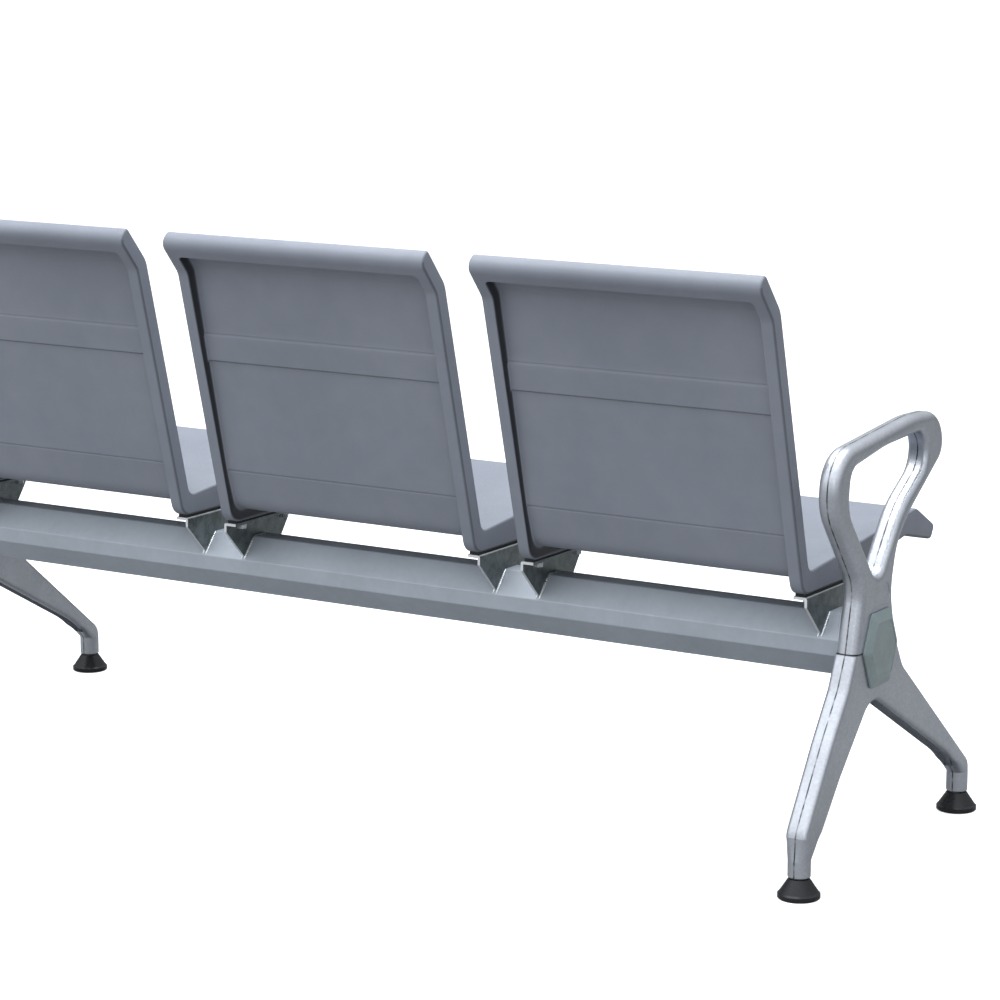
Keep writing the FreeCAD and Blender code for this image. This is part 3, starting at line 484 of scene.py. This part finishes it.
def plastic_material(finish, name, tone, roughness, cells, strength, dusty, specular):
    """Plain plastic or rubber with its own gloss and grain, and dust near the floor."""
    made, tree, shader = new_material(name, specular=specular)
    skin = mottled(tree, getattr(finish, tone), 1.08, 0.90, 22.0).outputs["Colour"]
    if dusty:
        dust = place_group(tree, "Dust", Top=30 * MM)
        skin = mix_colour(tree, product(tree, dust.outputs["Mask"], dusty), skin, rgba(finish.dust))
    wire(tree, skin, shader.inputs["Base Color"])
    grain = pebbled(tree, shader, cells, strength)
    roughness_from(tree, shader, grain.outputs["Pits"], *roughness)
    return made


def metal_material(finish, name, tone, roughness, cells, strength):
    """Bare or plated metal with a fine clouded surface."""
    made, tree, shader = new_material(name, metallic=1.0)
    drift = mottled(tree, getattr(finish, tone), 1.1, 0.75, 90.0)
    wire(tree, drift.outputs["Colour"], shader.inputs["Base Color"])
    roughness_from(tree, shader, drift.outputs["Patch"], *roughness)
    pebbled(tree, shader, cells, strength, 0.2 * MM)
    return made


MATERIALS = {
    "moulded_shell": shell_material,
    "silver_powder_coat": paint_material,
    "satin_casting": casting_material,
    "bracket_plate": plate_material,
}

# Plastics: colour, roughness from and to, grain cells per metre, relief, share of dust, specular level
PLASTICS = {
    "cap_moulding": ("cap", (0.28, 0.38), 800.0, 0.08, 0.0, 0.5),
    "pad_moulding": ("pad", (0.26, 0.38), 500.0, 0.06, 0.02, 0.28),
    "dark_rubber": ("rubber", (0.60, 0.75), 900.0, 0.20, 0.0, 0.5),
}

# Metals: colour, roughness from and to, grain cells per metre, relief
METALS = {
    "plated_zinc": ("zinc", (0.24, 0.38), 900.0, 0.10),
    "sawn_plate": ("sawn", (0.35, 0.55), 400.0, 0.20),
    "weld_metal": ("weld", (0.22, 0.40), 700.0, 0.30),
    "turned_brass": ("brass", (0.22, 0.34), 900.0, 0.10),
}


def finish_named(name):
    """Material by name, made the first time that it is asked for."""
    found = bpy.data.materials.get(name)
    if found:
        return found
    finish = bpy.context.scene.bench_finishes
    if name in PLASTICS:
        return plastic_material(finish, name, *PLASTICS[name])
    if name in METALS:
        return metal_material(finish, name, *METALS[name])
    return MATERIALS[name](finish)


def smooth(piece, sharp):
    """Smooth faces, with edges kept sharp past an angle in degrees."""
    mesh = piece.data
    mesh.polygons.foreach_set("use_smooth", [True] * len(mesh.polygons))
    mesh.set_sharp_from_angle(angle=math.radians(sharp))


def dress(node, material, sharp=32.0):
    """Gives a carried-over node its finish and smooths its faces up to a sharp angle."""
    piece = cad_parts[node]
    piece.data.materials.clear()
    piece.data.materials.append(finish_named(material))
    smooth(piece, sharp)
    return piece


def new_piece(name, grid, material, node):
    """Object from a bmesh that rides on the bench in a node's stead."""
    mesh = bpy.data.meshes.new(name)
    bmesh.ops.recalc_face_normals(grid, faces=grid.faces)
    grid.to_mesh(mesh)
    grid.free()
    piece = bpy.data.objects.new(name, mesh)
    bpy.context.scene.collection.objects.link(piece)
    mesh.materials.append(finish_named(material))
    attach(piece, BODY)
    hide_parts(node)
    return piece


# Seat shell

SEAT_OVER_FLAT = 0.34  # share of the seat's length that lies over the level underside
TOP_EDGE_RUN = 7 * MM  # rear share of the rounding at the top edge
LIP_MARGIN = 4 * MM  # rail left between the recess and the lip
PANEL_BLEND = 60 * MM  # length in which the panel thins again in front of the corner
NOSE_THINNING = 2 * MM  # thickness that the panel loses from the front crest to the tip
BAND_EDGES = (3 * MM, 9 * MM)  # runs of the band's lower and upper edge
CREASE_HALF = 2 * MM  # half width of a crease
DISH_EDGES = (3 * MM, 40 * MM, 60 * MM)  # runs of the dish at its sides, top and front
WALL_SHADE = (0.10, 0.70)  # depths on the recess wall, as shares, between which the painted shade is full
EDGE_SHADE = 0.5  # strength of the painted dark reflection along the rounded side edges
CREASE_SHADE = 0.25  # strength of the painted shade in a crease

# Fineness of the mesh: stations along the outline and rings across the seat

STATIONS = (10, 16, 46, 26, 34, 20, 14)  # in each stretch, from the middle of the top edge to the lip
WALL_STATIONS = 22
SIDE_RINGS = 5
WALL_RINGS = 18
WALL_RING_STEP = 0.6 * MM
DISH_RINGS = 6
OPEN_RINGS = (9.5, 15, 40, 56, 80, 112, 150, 190)  # mm from the side
SLOPE_REACH = 0.6 * MM  # how far on each side of a station its slope is read


def step(point, turn, distance):
    """Point moved by a distance; a turn of 0 is straight up and a quarter turn is to the rear."""
    return (point[0] + distance * math.sin(turn), point[1] + distance * math.cos(turn))


def offset_line(points, depth):
    """Line at a depth behind and below the sitting line, with mitred corners."""
    turns = [math.atan2(end[1] - start[1], end[0] - start[0]) for start, end in zip(points, points[1:])]
    moved = []
    for point, before, after in zip(points, turns[:1] + turns, turns + turns[-1:]):
        along = (before + after) / 2
        reach = depth / math.cos((before - after) / 2)
        moved.append((point[0] - reach * math.sin(along), point[1] + reach * math.cos(along)))
    return moved


def shell_outline(shape):
    """Corners (y, z, radius) of the seat's side outline, from the top edge round by the front."""
    corner = (BEAM_MIDDLE.y + shape.junction_back, BEAM_MIDDLE.z + shape.junction_up)
    bend = step(corner, shape.back_lean, shape.back_length)
    top = step(bend, shape.roll_lean, shape.roll_length)
    crest = step(corner, shape.seat_tilt - math.pi / 2, shape.seat_length)
    nose = step(crest, -math.pi / 2 - shape.nose_tilt, shape.nose_length)
    lip = step(nose, math.pi - shape.nose_tilt, shape.lip_depth)
    root = (crest[0] + shape.lip_reach,
            crest[1] - shape.lip_reach * math.tan(shape.seat_tilt) - shape.seat_depth)
    heel, rear_bend = offset_line([top, bend, corner, crest, nose], shape.back_depth)[:2]
    foot_y = rear_bend[0] - (rear_bend[1] - STRIP_TOP) * math.tan(shape.back_lean)
    foot = (foot_y, STRIP_TOP)
    flat = (foot_y - shape.underside_flat, STRIP_TOP)
    rounded = ((top, 5), (bend, 40), (corner, 14), (crest, 24), (nose, 7), (lip, 9), (root, 12),
               (flat, 60), (foot, 24), (rear_bend, 30), (heel, 15))
    return [(y, z, radius * MM) for (y, z), radius in rounded]


def corner_arc(before, corner, after, steps):
    """Points of the arc that rounds one corner."""
    here = Vector(corner[:2])
    back = (Vector(before[:2]) - here).normalized()
    ahead = (Vector(after[:2]) - here).normalized()
    half = back.angle(ahead) / 2
    bisector = (back + ahead).normalized()
    centre = here + bisector * corner[2] / math.sin(half)
    start = here + back * corner[2] / math.tan(half) - centre
    sweep = math.pi - 2 * half
    side = 1.0 if start.y * back.x - start.x * back.y > 0 else -1.0
    count = max(2, 2 * math.ceil(steps * sweep / math.pi))
    return [centre + Matrix.Rotation(side * sweep * i / count, 2) @ start for i in range(count + 1)]


class Route:
    """Polyline with points found by distance, and the distance of each landmark."""

    def __init__(self, arcs):
        self.points = []
        self.marks = []
        for arc in arcs:
            self.marks.append(len(self.points) + (len(arc) - 1) // 2)
            self.points.extend(arc)
        self.marks[0] = 0
        self.marks[-1] = len(self.points) - 1
        self.far = [0.0]
        for first, second in zip(self.points, self.points[1:]):
            self.far.append(self.far[-1] + (second - first).length)
        self.marks = [self.far[i] for i in self.marks]

    def at(self, distance):
        """Point at a distance along the route."""
        low, high = 0, len(self.far) - 1
        while high - low > 1:
            mid = (low + high) // 2
            if self.far[mid] <= distance:
                low = mid
            else:
                high = mid
        span = self.far[high] - self.far[low]
        share = 0.0 if span == 0 else min(1.0, max(0.0, (distance - self.far[low]) / span))
        return self.points[low].lerp(self.points[high], share)

    def inward(self, distance, side):
        """Unit vector square to the route, to one side."""
        ahead = self.at(min(distance + SLOPE_REACH, self.far[-1]))
        back = self.at(max(distance - SLOPE_REACH, 0.0))
        run = (ahead - back).normalized()
        return Vector((-run.y, run.x)) * side


def shell_routes(shape):
    """Sitting-side route and underside route, both from the top of the roll to the lip."""
    corners = shell_outline(shape)
    count = len(corners)
    arcs = [corner_arc(corners[i - 1], corners[i], corners[(i + 1) % count], shape.arc_steps)
            for i in range(count)]
    top, bend, corner, crest, nose, lip, root, flat, foot, rear_bend, heel = arcs
    heel_mid = len(heel) // 2
    lip_mid = len(lip) // 2
    sitting = Route([heel[heel_mid:], top, bend, corner, crest, nose, lip[:lip_mid + 1]])
    under = Route([heel[heel_mid::-1]] + [arc[::-1] for arc in (rear_bend, foot, flat, root)]
                  + [lip[lip_mid:][::-1]])
    return sitting, under


def shell_stations(sitting, under, shape):
    """Pairs of distances along both routes, close together where the shape turns."""
    start, top, bend, corner, crest, nose, end = sitting.marks
    first, rear_bend, foot, flat, root, last = under.marks
    flat_above = corner + (crest - corner) * SEAT_OVER_FLAT
    above = [start, top, bend, corner, flat_above, crest, nose, end]
    below = [first, TOP_EDGE_RUN, rear_bend, foot, flat, root, (root + last) / 2, last]
    fine = []
    for edge in (corner - shape.band_low, corner - shape.band_high, corner - shape.hip):
        fine += [edge + k * MM for k in range(-4, 5)]
    mouth = shape.recess_drop - 3 * MM
    wall = [mouth + k * shape.wall_run / 5 for k in range(WALL_STATIONS)]
    pairs = []
    for i, count in enumerate(STATIONS):
        span = above[i + 1] - above[i]
        drop = below[i + 1] - below[i]
        shares = [(1 - math.cos(math.pi * k / count)) / 2 for k in range(count)]
        shares += [(place - above[i]) / span for place in fine if above[i] < place < above[i + 1]]
        if i == 1:
            shares += [(place - below[i]) / drop for place in wall]
        for share in sorted(shares):
            if 0 <= share < 1:
                pairs.append((above[i] + share * span, below[i] + share * drop))
    return pairs + [(end, last)]


def ease(value):
    """Smooth rise from 0 to 1."""
    value = min(1.0, max(0.0, value))
    return value * value * (3 - 2 * value)


def recess_share(shape, inboard, drop, to_lip):
    """0 on the rails and 1 in the recess, from the distances to its edges."""
    radius = shape.recess_corner
    inset = inboard - (shape.rail_width - shape.wall_run / 2)
    fall = drop - shape.recess_drop
    if inset < radius and fall < radius:
        depth = radius - math.hypot(radius - inset, radius - fall)
    else:
        depth = min(inset, fall)
    return ease(min(depth, to_lip - LIP_MARGIN) / shape.wall_run)


def shell_rings(width, shape):
    """(distance from the left side, inset of the outline) of each ring across the seat."""
    rings = []
    for i in range(SIDE_RINGS, -1, -1):
        turn = math.pi / 2 * i / SIDE_RINGS
        rings.append((shape.edge_radius * (1 - math.sin(turn)), shape.edge_radius * (1 - math.cos(turn))))
    wall = shape.rail_width - shape.wall_run / 2 - 1 * MM
    inner = [place * MM for place in OPEN_RINGS]
    inner += [wall + i * WALL_RING_STEP for i in range(WALL_RINGS)]
    inner += [shape.dish_inset + i * MM for i in range(DISH_RINGS)]
    rings += [(place, 0.0) for place in sorted(set(round(value, 6) for value in inner))]
    return rings + [(width / 2, 0.0)] + [(width - place, inset) for place, inset in reversed(rings)]


def web_at(shape, above, marks):
    """Thickness of the panel at a distance along the sitting side."""
    bend, corner, crest, nose = marks
    places = (bend, corner - shape.hip, corner, corner + PANEL_BLEND)
    depths = (shape.web, shape.web_hip, shape.web_foot, shape.web)
    web = shape.web
    for i in range(3):
        if above < places[i + 1]:
            share = max(0.0, (above - places[i]) / (places[i + 1] - places[i]))
            web = depths[i] + (depths[i + 1] - depths[i]) * share
            break
    return web - NOSE_THINNING * ease((above - crest) / (nose - crest))


def band_share(shape, up_back):
    """1 on the raised band and 0 away from it."""
    low, high = BAND_EDGES
    return ease((up_back - shape.band_low) / low + 0.5) - ease((up_back - shape.band_high) / high + 0.5)


def crease_share(shape, up_back):
    """1 in the middle of a crease and 0 beside it."""
    away = min(abs(up_back - place) for place in (shape.hip, shape.band_low, shape.band_high))
    return 1 - ease(away / CREASE_HALF)


def dish_share(shape, inboard, above, bend, crest):
    """1 in the sitting dish and 0 outside it."""
    side, top, front = DISH_EDGES
    return (ease((inboard - shape.dish_inset) / side) * ease((above - bend) / top)
            * ease((crest - above) / front))


def shell_loop(sitting, under, pairs, shape, inboard, inset):
    """Closed loop of (y, z) points at one ring of the seat, each with its share of painted shade."""
    upper = []
    lower = []
    bend, corner, crest, nose, end = sitting.marks[2:]
    # Painted dark reflection along the rounded side edges, full halfway round the rounding
    edge = EDGE_SHADE * ease(min(inset, shape.edge_radius - inset) / (0.25 * shape.edge_radius))
    wall_shade_start, wall_shade_end = WALL_SHADE
    for above, below in pairs:
        point = sitting.at(above)
        inward = sitting.inward(above, 1.0)
        outer = under.at(below)
        outward = under.inward(below, -1.0)
        share = recess_share(shape, inboard, below, end - above)
        crease = crease_share(shape, corner - above)
        web = web_at(shape, above, (bend, corner, crest, nose))
        rise = shape.band_rise * band_share(shape, corner - above)
        panel = point + inward * (web + rise - shape.crease_depth * crease)
        # Painted shade: full on the recess wall, lighter in the creases, plus the edge's painted
        # reflection; the sitting side gets half of the edge's share
        wall = ease(share / wall_shade_start) * (1 - ease((share - wall_shade_end) / (1 - wall_shade_end)))
        line = max(wall, CREASE_SHADE * crease * share, edge)
        dish = shape.dish_depth * dish_share(shape, inboard, above, bend, crest)
        upper.append((point + inward * (inset + dish), 0.5 * edge))
        lower.append(((outer + outward * inset).lerp(panel, share), line))
    if inset:
        upper[0] = ((upper[0][0] + lower[0][0]) / 2, edge)
        upper[-1] = ((upper[-1][0] + lower[-1][0]) / 2, edge)
    return upper + lower[-2:0:-1]


def shell_mesh(low_x, high_x, shape):
    """Seat shell as rings of points joined across its width, closed by strips at both sides."""
    sitting, under = shell_routes(shape)
    pairs = shell_stations(sitting, under, shape)
    width = high_x - low_x
    grid = bmesh.new()
    # Share of painted shade at each vertex, read by the seat's material
    shade = grid.verts.layers.float.new("shade_line")
    rows = []
    for place, inset in shell_rings(width, shape):
        inboard = min(place, width - place)
        row = []
        for (y, z), line in shell_loop(sitting, under, pairs, shape, inboard, inset):
            row.append(grid.verts.new((low_x + place, y, z)))
            row[-1][shade] = line
        rows.append(row)
    count = len(rows[0])
    for first, second in zip(rows, rows[1:]):
        for i in range(count):
            k = (i + 1) % count
            grid.faces.new((first[i], first[k], second[k], second[i]))
    for row in (rows[0], rows[-1]):
        for i in range(len(pairs) - 1):
            corners = (row[i], row[i + 1], row[(count - i - 1) % count], row[(count - i) % count])
            grid.faces.new(list(dict.fromkeys(corners)))
    return grid


class BENCH_OT_seats(Operator):
    """Build the moulded seat shells"""
    bl_idname = "bench.seats"
    bl_label = "Seat shells"

    def execute(self, context):
        for node in SEATS:
            low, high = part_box(node)
            grid = shell_mesh(low.x, high.x, context.scene.bench_seat)
            piece = new_piece(node + "_shell", grid, "moulded_shell", node)
            smooth(piece, 50.0)
        return {"FINISHED"}


# Beam, brackets and welds

class BENCH_OT_beam(Operator):
    """Finish the beam and its end plates"""
    bl_idname = "bench.beam"
    bl_label = "Beam"

    def execute(self, context):
        dress("beam_tube", "silver_powder_coat", 40.0)
        for side in SIDES:
            dress("beam_end_plate_" + side, "sawn_plate")
        return {"FINISHED"}


class BENCH_OT_brackets(Operator):
    """Finish the bracket plates and the rubber strips on them"""
    bl_idname = "bench.brackets"
    bl_label = "Brackets"

    def execute(self, context):
        for node in BRACKETS:
            piece = dress(node, "bracket_plate")
            soft = piece.modifiers.new("burr", "BEVEL")
            soft.width = 0.4 * MM
            soft.segments = 2
            soft.limit_method = "ANGLE"
            dress(node.replace("bracket", "rubber_strip"), "dark_rubber")
        return {"FINISHED"}


BEAM_TOP_HALF = 17 * MM  # half width of the beam's level top
BEAM_SIDE_HALF = 11 * MM  # half height of its upright sides
PLATE = 4 * MM  # thickness of a bracket plate
TOP_BEAD_HALF = 15 * MM  # half length of the bead over the beam's top
BEAD_OFF = 0.6 * MM  # from the plate's face out to the middle of a bead
BEAD_SIDES = 10
BEAD_HEIGHT = 0.75  # as a share of its half width
BEAD_RIPPLE = 0.20  # share of the radius that the ripples take
BEAD_TAPER = 6  # each end tapers over one part in this many of the run
BEAD_TIP = 0.15  # share of the radius at the very end
BEAD_SWAY = 0.25 * MM
BEAD_SWAY_TURN = 9.7  # radians of sway in one ripple


def bead_route(node, shape):
    """Ends of the beads down the rear and the front slope of the beam at one bracket."""
    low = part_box(node)[0]
    beam_low, beam_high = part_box("beam_tube")
    half_wide = (beam_high.y - beam_low.y) / 2
    drop = BEAM_TOP - (BEAM_MIDDLE.z + BEAM_SIDE_HALF)
    slope = Vector((half_wide - BEAM_TOP_HALF, -drop)).normalized()
    run = min((BEAM_TOP - low.z) / -slope.y + shape.tail,
              (half_wide - BEAM_TOP_HALF) / slope.x - 1 * MM)
    start = Vector((BEAM_TOP_HALF, 0))
    end = start + slope * run
    return [[(BEAM_MIDDLE.y + sign * place.x, BEAM_TOP + place.y) for place in (start, end)]
            for sign in (1, -1)]


def bead_mesh(grid, x, start, end, shape):
    """Rippled bead of weld metal, lying half sunk on the beam from start to end in the Y-Z plane."""
    run = Vector((0, end[0] - start[0], end[1] - start[1]))
    count = max(6, int(run.length / (shape.ripple / 4)))
    across = Vector((1, 0, 0))
    up = across.cross(run.normalized())
    if up.z < 0:
        up = -up
    rings = []
    for i in range(count + 1):
        share = i / count
        ripple = 0.5 + 0.5 * math.cos(2 * math.pi * run.length * share / shape.ripple)
        taper = min(1.0, BEAD_TAPER * share, BEAD_TAPER * (1 - share)) ** 0.5
        radius = shape.radius * (1 - BEAD_RIPPLE + BEAD_RIPPLE * ripple) * max(BEAD_TIP, taper)
        sway = BEAD_SWAY * math.sin(BEAD_SWAY_TURN * share * run.length / shape.ripple)
        centre = Vector((x + sway, start[0], start[1])) + run * share
        ring = []
        for k in range(BEAD_SIDES):
            turn = 2 * math.pi * k / BEAD_SIDES
            side = math.cos(turn) * across + BEAD_HEIGHT * math.sin(turn) * up
            ring.append(grid.verts.new(centre + radius * side))
        rings.append(ring)
    for first, second in zip(rings, rings[1:]):
        for i in range(BEAD_SIDES):
            k = (i + 1) % BEAD_SIDES
            grid.faces.new((first[i], first[k], second[k], second[i]))
    grid.faces.new(rings[0])
    grid.faces.new(rings[-1])


class BENCH_OT_welds(Operator):
    """Build the rippled weld beads"""
    bl_idname = "bench.welds"
    bl_label = "Weld beads"

    def execute(self, context):
        shape = context.scene.bench_weld
        top_start, top_end = [(BEAM_MIDDLE.y + sign * TOP_BEAD_HALF, BEAM_TOP) for sign in (-1, 1)]
        grid = bmesh.new()
        for i, node in enumerate(BRACKETS):
            low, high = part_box(node)
            inward = 1 if i % 2 == 0 else -1
            outer_x = low.x if inward > 0 else high.x
            near_inner = outer_x + inward * (PLATE + BEAD_OFF)
            near_outer = outer_x - inward * BEAD_OFF
            for start, end in bead_route(node, shape):
                bead_mesh(grid, near_inner, start, end, shape)
                bead_mesh(grid, near_outer, start, end, shape)
            bead_mesh(grid, near_inner, top_start, top_end, shape)
        piece = new_piece("weld_beads", grid, "weld_metal", "bracket_welds")
        smooth(piece, 60.0)
        return {"FINISHED"}


# Castings and caps

class BENCH_OT_castings(Operator):
    """Finish the cast legs, cast arms and hub caps"""
    bl_idname = "bench.castings"
    bl_label = "Castings"

    def execute(self, context):
        for side in SIDES:
            dress("leg_casting_" + side, "satin_casting", 38.0)
            dress("arm_casting_" + side, "satin_casting", 38.0)
            dress("hub_cap_" + side, "cap_moulding", 25.0)
        return {"FINISHED"}


# Feet and fasteners

class BENCH_OT_feet(Operator):
    """Finish the levelling feet"""
    bl_idname = "bench.feet"
    bl_label = "Levelling feet"

    def execute(self, context):
        for foot in FEET:
            dress("foot_pad_" + foot, "pad_moulding", 40.0)
            dress("foot_stem_" + foot, "plated_zinc")
        dress("foot_inserts", "turned_brass")
        return {"FINISHED"}


class BENCH_OT_fasteners(Operator):
    """Finish the bolts, washers and threaded bushes"""
    bl_idname = "bench.fasteners"
    bl_label = "Fasteners"

    def execute(self, context):
        for side in SIDES:
            dress("hub_bolts_" + side, "plated_zinc")
            dress("hub_washers_" + side, "plated_zinc")
        dress("seat_bolts", "plated_zinc")
        dress("seat_bolt_washers", "plated_zinc")
        dress("seat_inserts", "turned_brass")
        return {"FINISHED"}


# Stage

CAMERA_PLACE = Vector((-2.746, 4.0965, 1.362))
CAMERA_VIEW = Vector((0.5218, -0.8319, -0.1888))
FRAME_WIDTH = 36.0  # mm
SKY_TONE = (0.95, 0.97, 1.0)

# Lamps: name, place, what it looks at, width and height, property of its power, tone
LAMPS = (
    ("key_lamp", (2.0, 4.4, 3.0), (-0.2, 0.1, 0.4), (4.4, 3.6), "key", (1.0, 0.99, 0.97)),
    ("top_lamp", (0.3, 0.0, 3.6), (0.0, 0.0, 0.4), (3.2, 3.2), "top", (0.96, 0.98, 1.0)),
    ("strip_lamp", (-1.7, 4.15, 2.0), (-0.7, 0.0, 0.3), (0.25, 1.6), "strip", (1.0, 1.0, 1.0)),
)


def area_lamp(name, place, target, size, power, tone):
    """Soft lamp of a width and height that looks at a target."""
    data = bpy.data.lights.new(name, "AREA")
    data.shape = "RECTANGLE"
    data.size, data.size_y = size
    data.energy = power
    data.color = tone
    lamp = bpy.data.objects.new(name, data)
    lamp.location = place
    lamp.rotation_euler = (Vector(target) - Vector(place)).to_track_quat("-Z", "Y").to_euler()
    bpy.context.scene.collection.objects.link(lamp)


def floor_material(stage):
    """Plain pale floor: near white to the camera, and duller in what it throws back on the bench."""
    made, tree, shader = new_material("pale_floor")
    tone = mottled(tree, stage.floor_tone, 1.0, 0.985, 0.8)
    dull = rgba(stage.floor_tone, stage.floor_return)
    seen = add_node(tree, "ShaderNodeLightPath").outputs["Is Camera Ray"]
    wire(tree, mix_colour(tree, seen, dull, tone.outputs["Colour"]), shader.inputs["Base Color"])
    wire(tree, product(tree, seen, stage.floor_glow), shader.inputs["Emission Strength"])
    shader.inputs["Emission Color"].default_value = rgba((1.0, 1.0, 1.0))
    shader.inputs["Roughness"].default_value = 0.9
    return made


def sky_world(stage):
    """Soft light, strongest overhead and behind the bench, and weak at its sides and front."""
    world = bpy.data.worlds.new("soft_sky")
    world.use_nodes = True
    tree = world.node_tree
    _, rearward, up = parts_of(tree, coordinate(tree, "Generated"))
    rise = band(tree, up, 0.0, 0.9, stage.horizon, stage.zenith, "SMOOTHSTEP")
    rear = band(tree, rearward, -0.1, 0.6, 0.0, stage.rear_sky, "SMOOTHSTEP")
    seen = add_node(tree, "ShaderNodeLightPath").outputs["Is Camera Ray"]
    lit = total(tree, total(tree, rise, rear), product(tree, seen, stage.backdrop))
    sky = tree.nodes["Background"]
    sky.inputs["Color"].default_value = rgba(SKY_TONE)
    wire(tree, lit, sky.inputs["Strength"])
    return world


class BENCH_OT_stage(Operator):
    """Set the camera, the floor and the lights"""
    bl_idname = "bench.stage"
    bl_label = "Stage"

    def execute(self, context):
        scene = context.scene
        stage = scene.bench_stage
        half = stage.floor_half
        mesh = bpy.data.meshes.new("floor")
        mesh.from_pydata([(-half, -half, 0), (half, -half, 0), (half, half, 0), (-half, half, 0)],
                         [], [(0, 1, 2, 3)])
        mesh.materials.append(floor_material(stage))
        floor = bpy.data.objects.new("floor", mesh)
        scene.collection.objects.link(floor)

        data = bpy.data.cameras.new("camera")
        data.sensor_width = FRAME_WIDTH
        data.lens = stage.lens
        data.clip_end = 200.0
        camera = bpy.data.objects.new("camera", data)
        camera.location = CAMERA_PLACE
        camera.rotation_euler = CAMERA_VIEW.to_track_quat("-Z", "Y").to_euler()
        scene.collection.objects.link(camera)
        scene.camera = camera

        scene.world = sky_world(stage)
        scene.view_settings.view_transform = "Standard"
        for name, place, target, size, power, tone in LAMPS:
            area_lamp(name, place, target, size, getattr(stage, power), tone)
        return {"FINISHED"}


# Panel and registration

GROUPS = {"bench_seat": SeatShape, "bench_weld": WeldShape, "bench_finishes": Finishes,
          "bench_stage": StageShape}
PIECE_OPERATORS = (BENCH_OT_seats, BENCH_OT_beam, BENCH_OT_brackets, BENCH_OT_welds, BENCH_OT_castings,
                   BENCH_OT_feet, BENCH_OT_fasteners, BENCH_OT_stage)


class BENCH_PT_panel(Panel):
    """Operators and sizes of the bench"""
    bl_label = "Beam Bench"
    bl_idname = "BENCH_PT_panel"
    bl_space_type = "VIEW_3D"
    bl_region_type = "UI"
    bl_category = "Beam Bench"

    def draw(self, context):
        for operator in PIECE_OPERATORS:
            self.layout.operator(operator.bl_idname)
        for group in GROUPS:
            settings = getattr(context.scene, group)
            for name in settings.bl_rna.properties.keys():
                if name not in {"rna_type", "name"}:
                    self.layout.prop(settings, name)


def register():
    for kind in tuple(GROUPS.values()) + PIECE_OPERATORS + (BENCH_PT_panel,):
        bpy.utils.register_class(kind)
    for name, kind in GROUPS.items():
        setattr(bpy.types.Scene, name, PointerProperty(type=kind))


def unregister():
    for name in GROUPS:
        delattr(bpy.types.Scene, name)
    for kind in (BENCH_PT_panel,) + tuple(reversed(PIECE_OPERATORS)) + tuple(GROUPS.values()):
        bpy.utils.unregister_class(kind)


def main():
    register()
    for operator in PIECE_OPERATORS:
        group, name = operator.bl_idname.split(".")
        getattr(getattr(bpy.ops, group), name)()


if __name__ == "__main__":
    main()
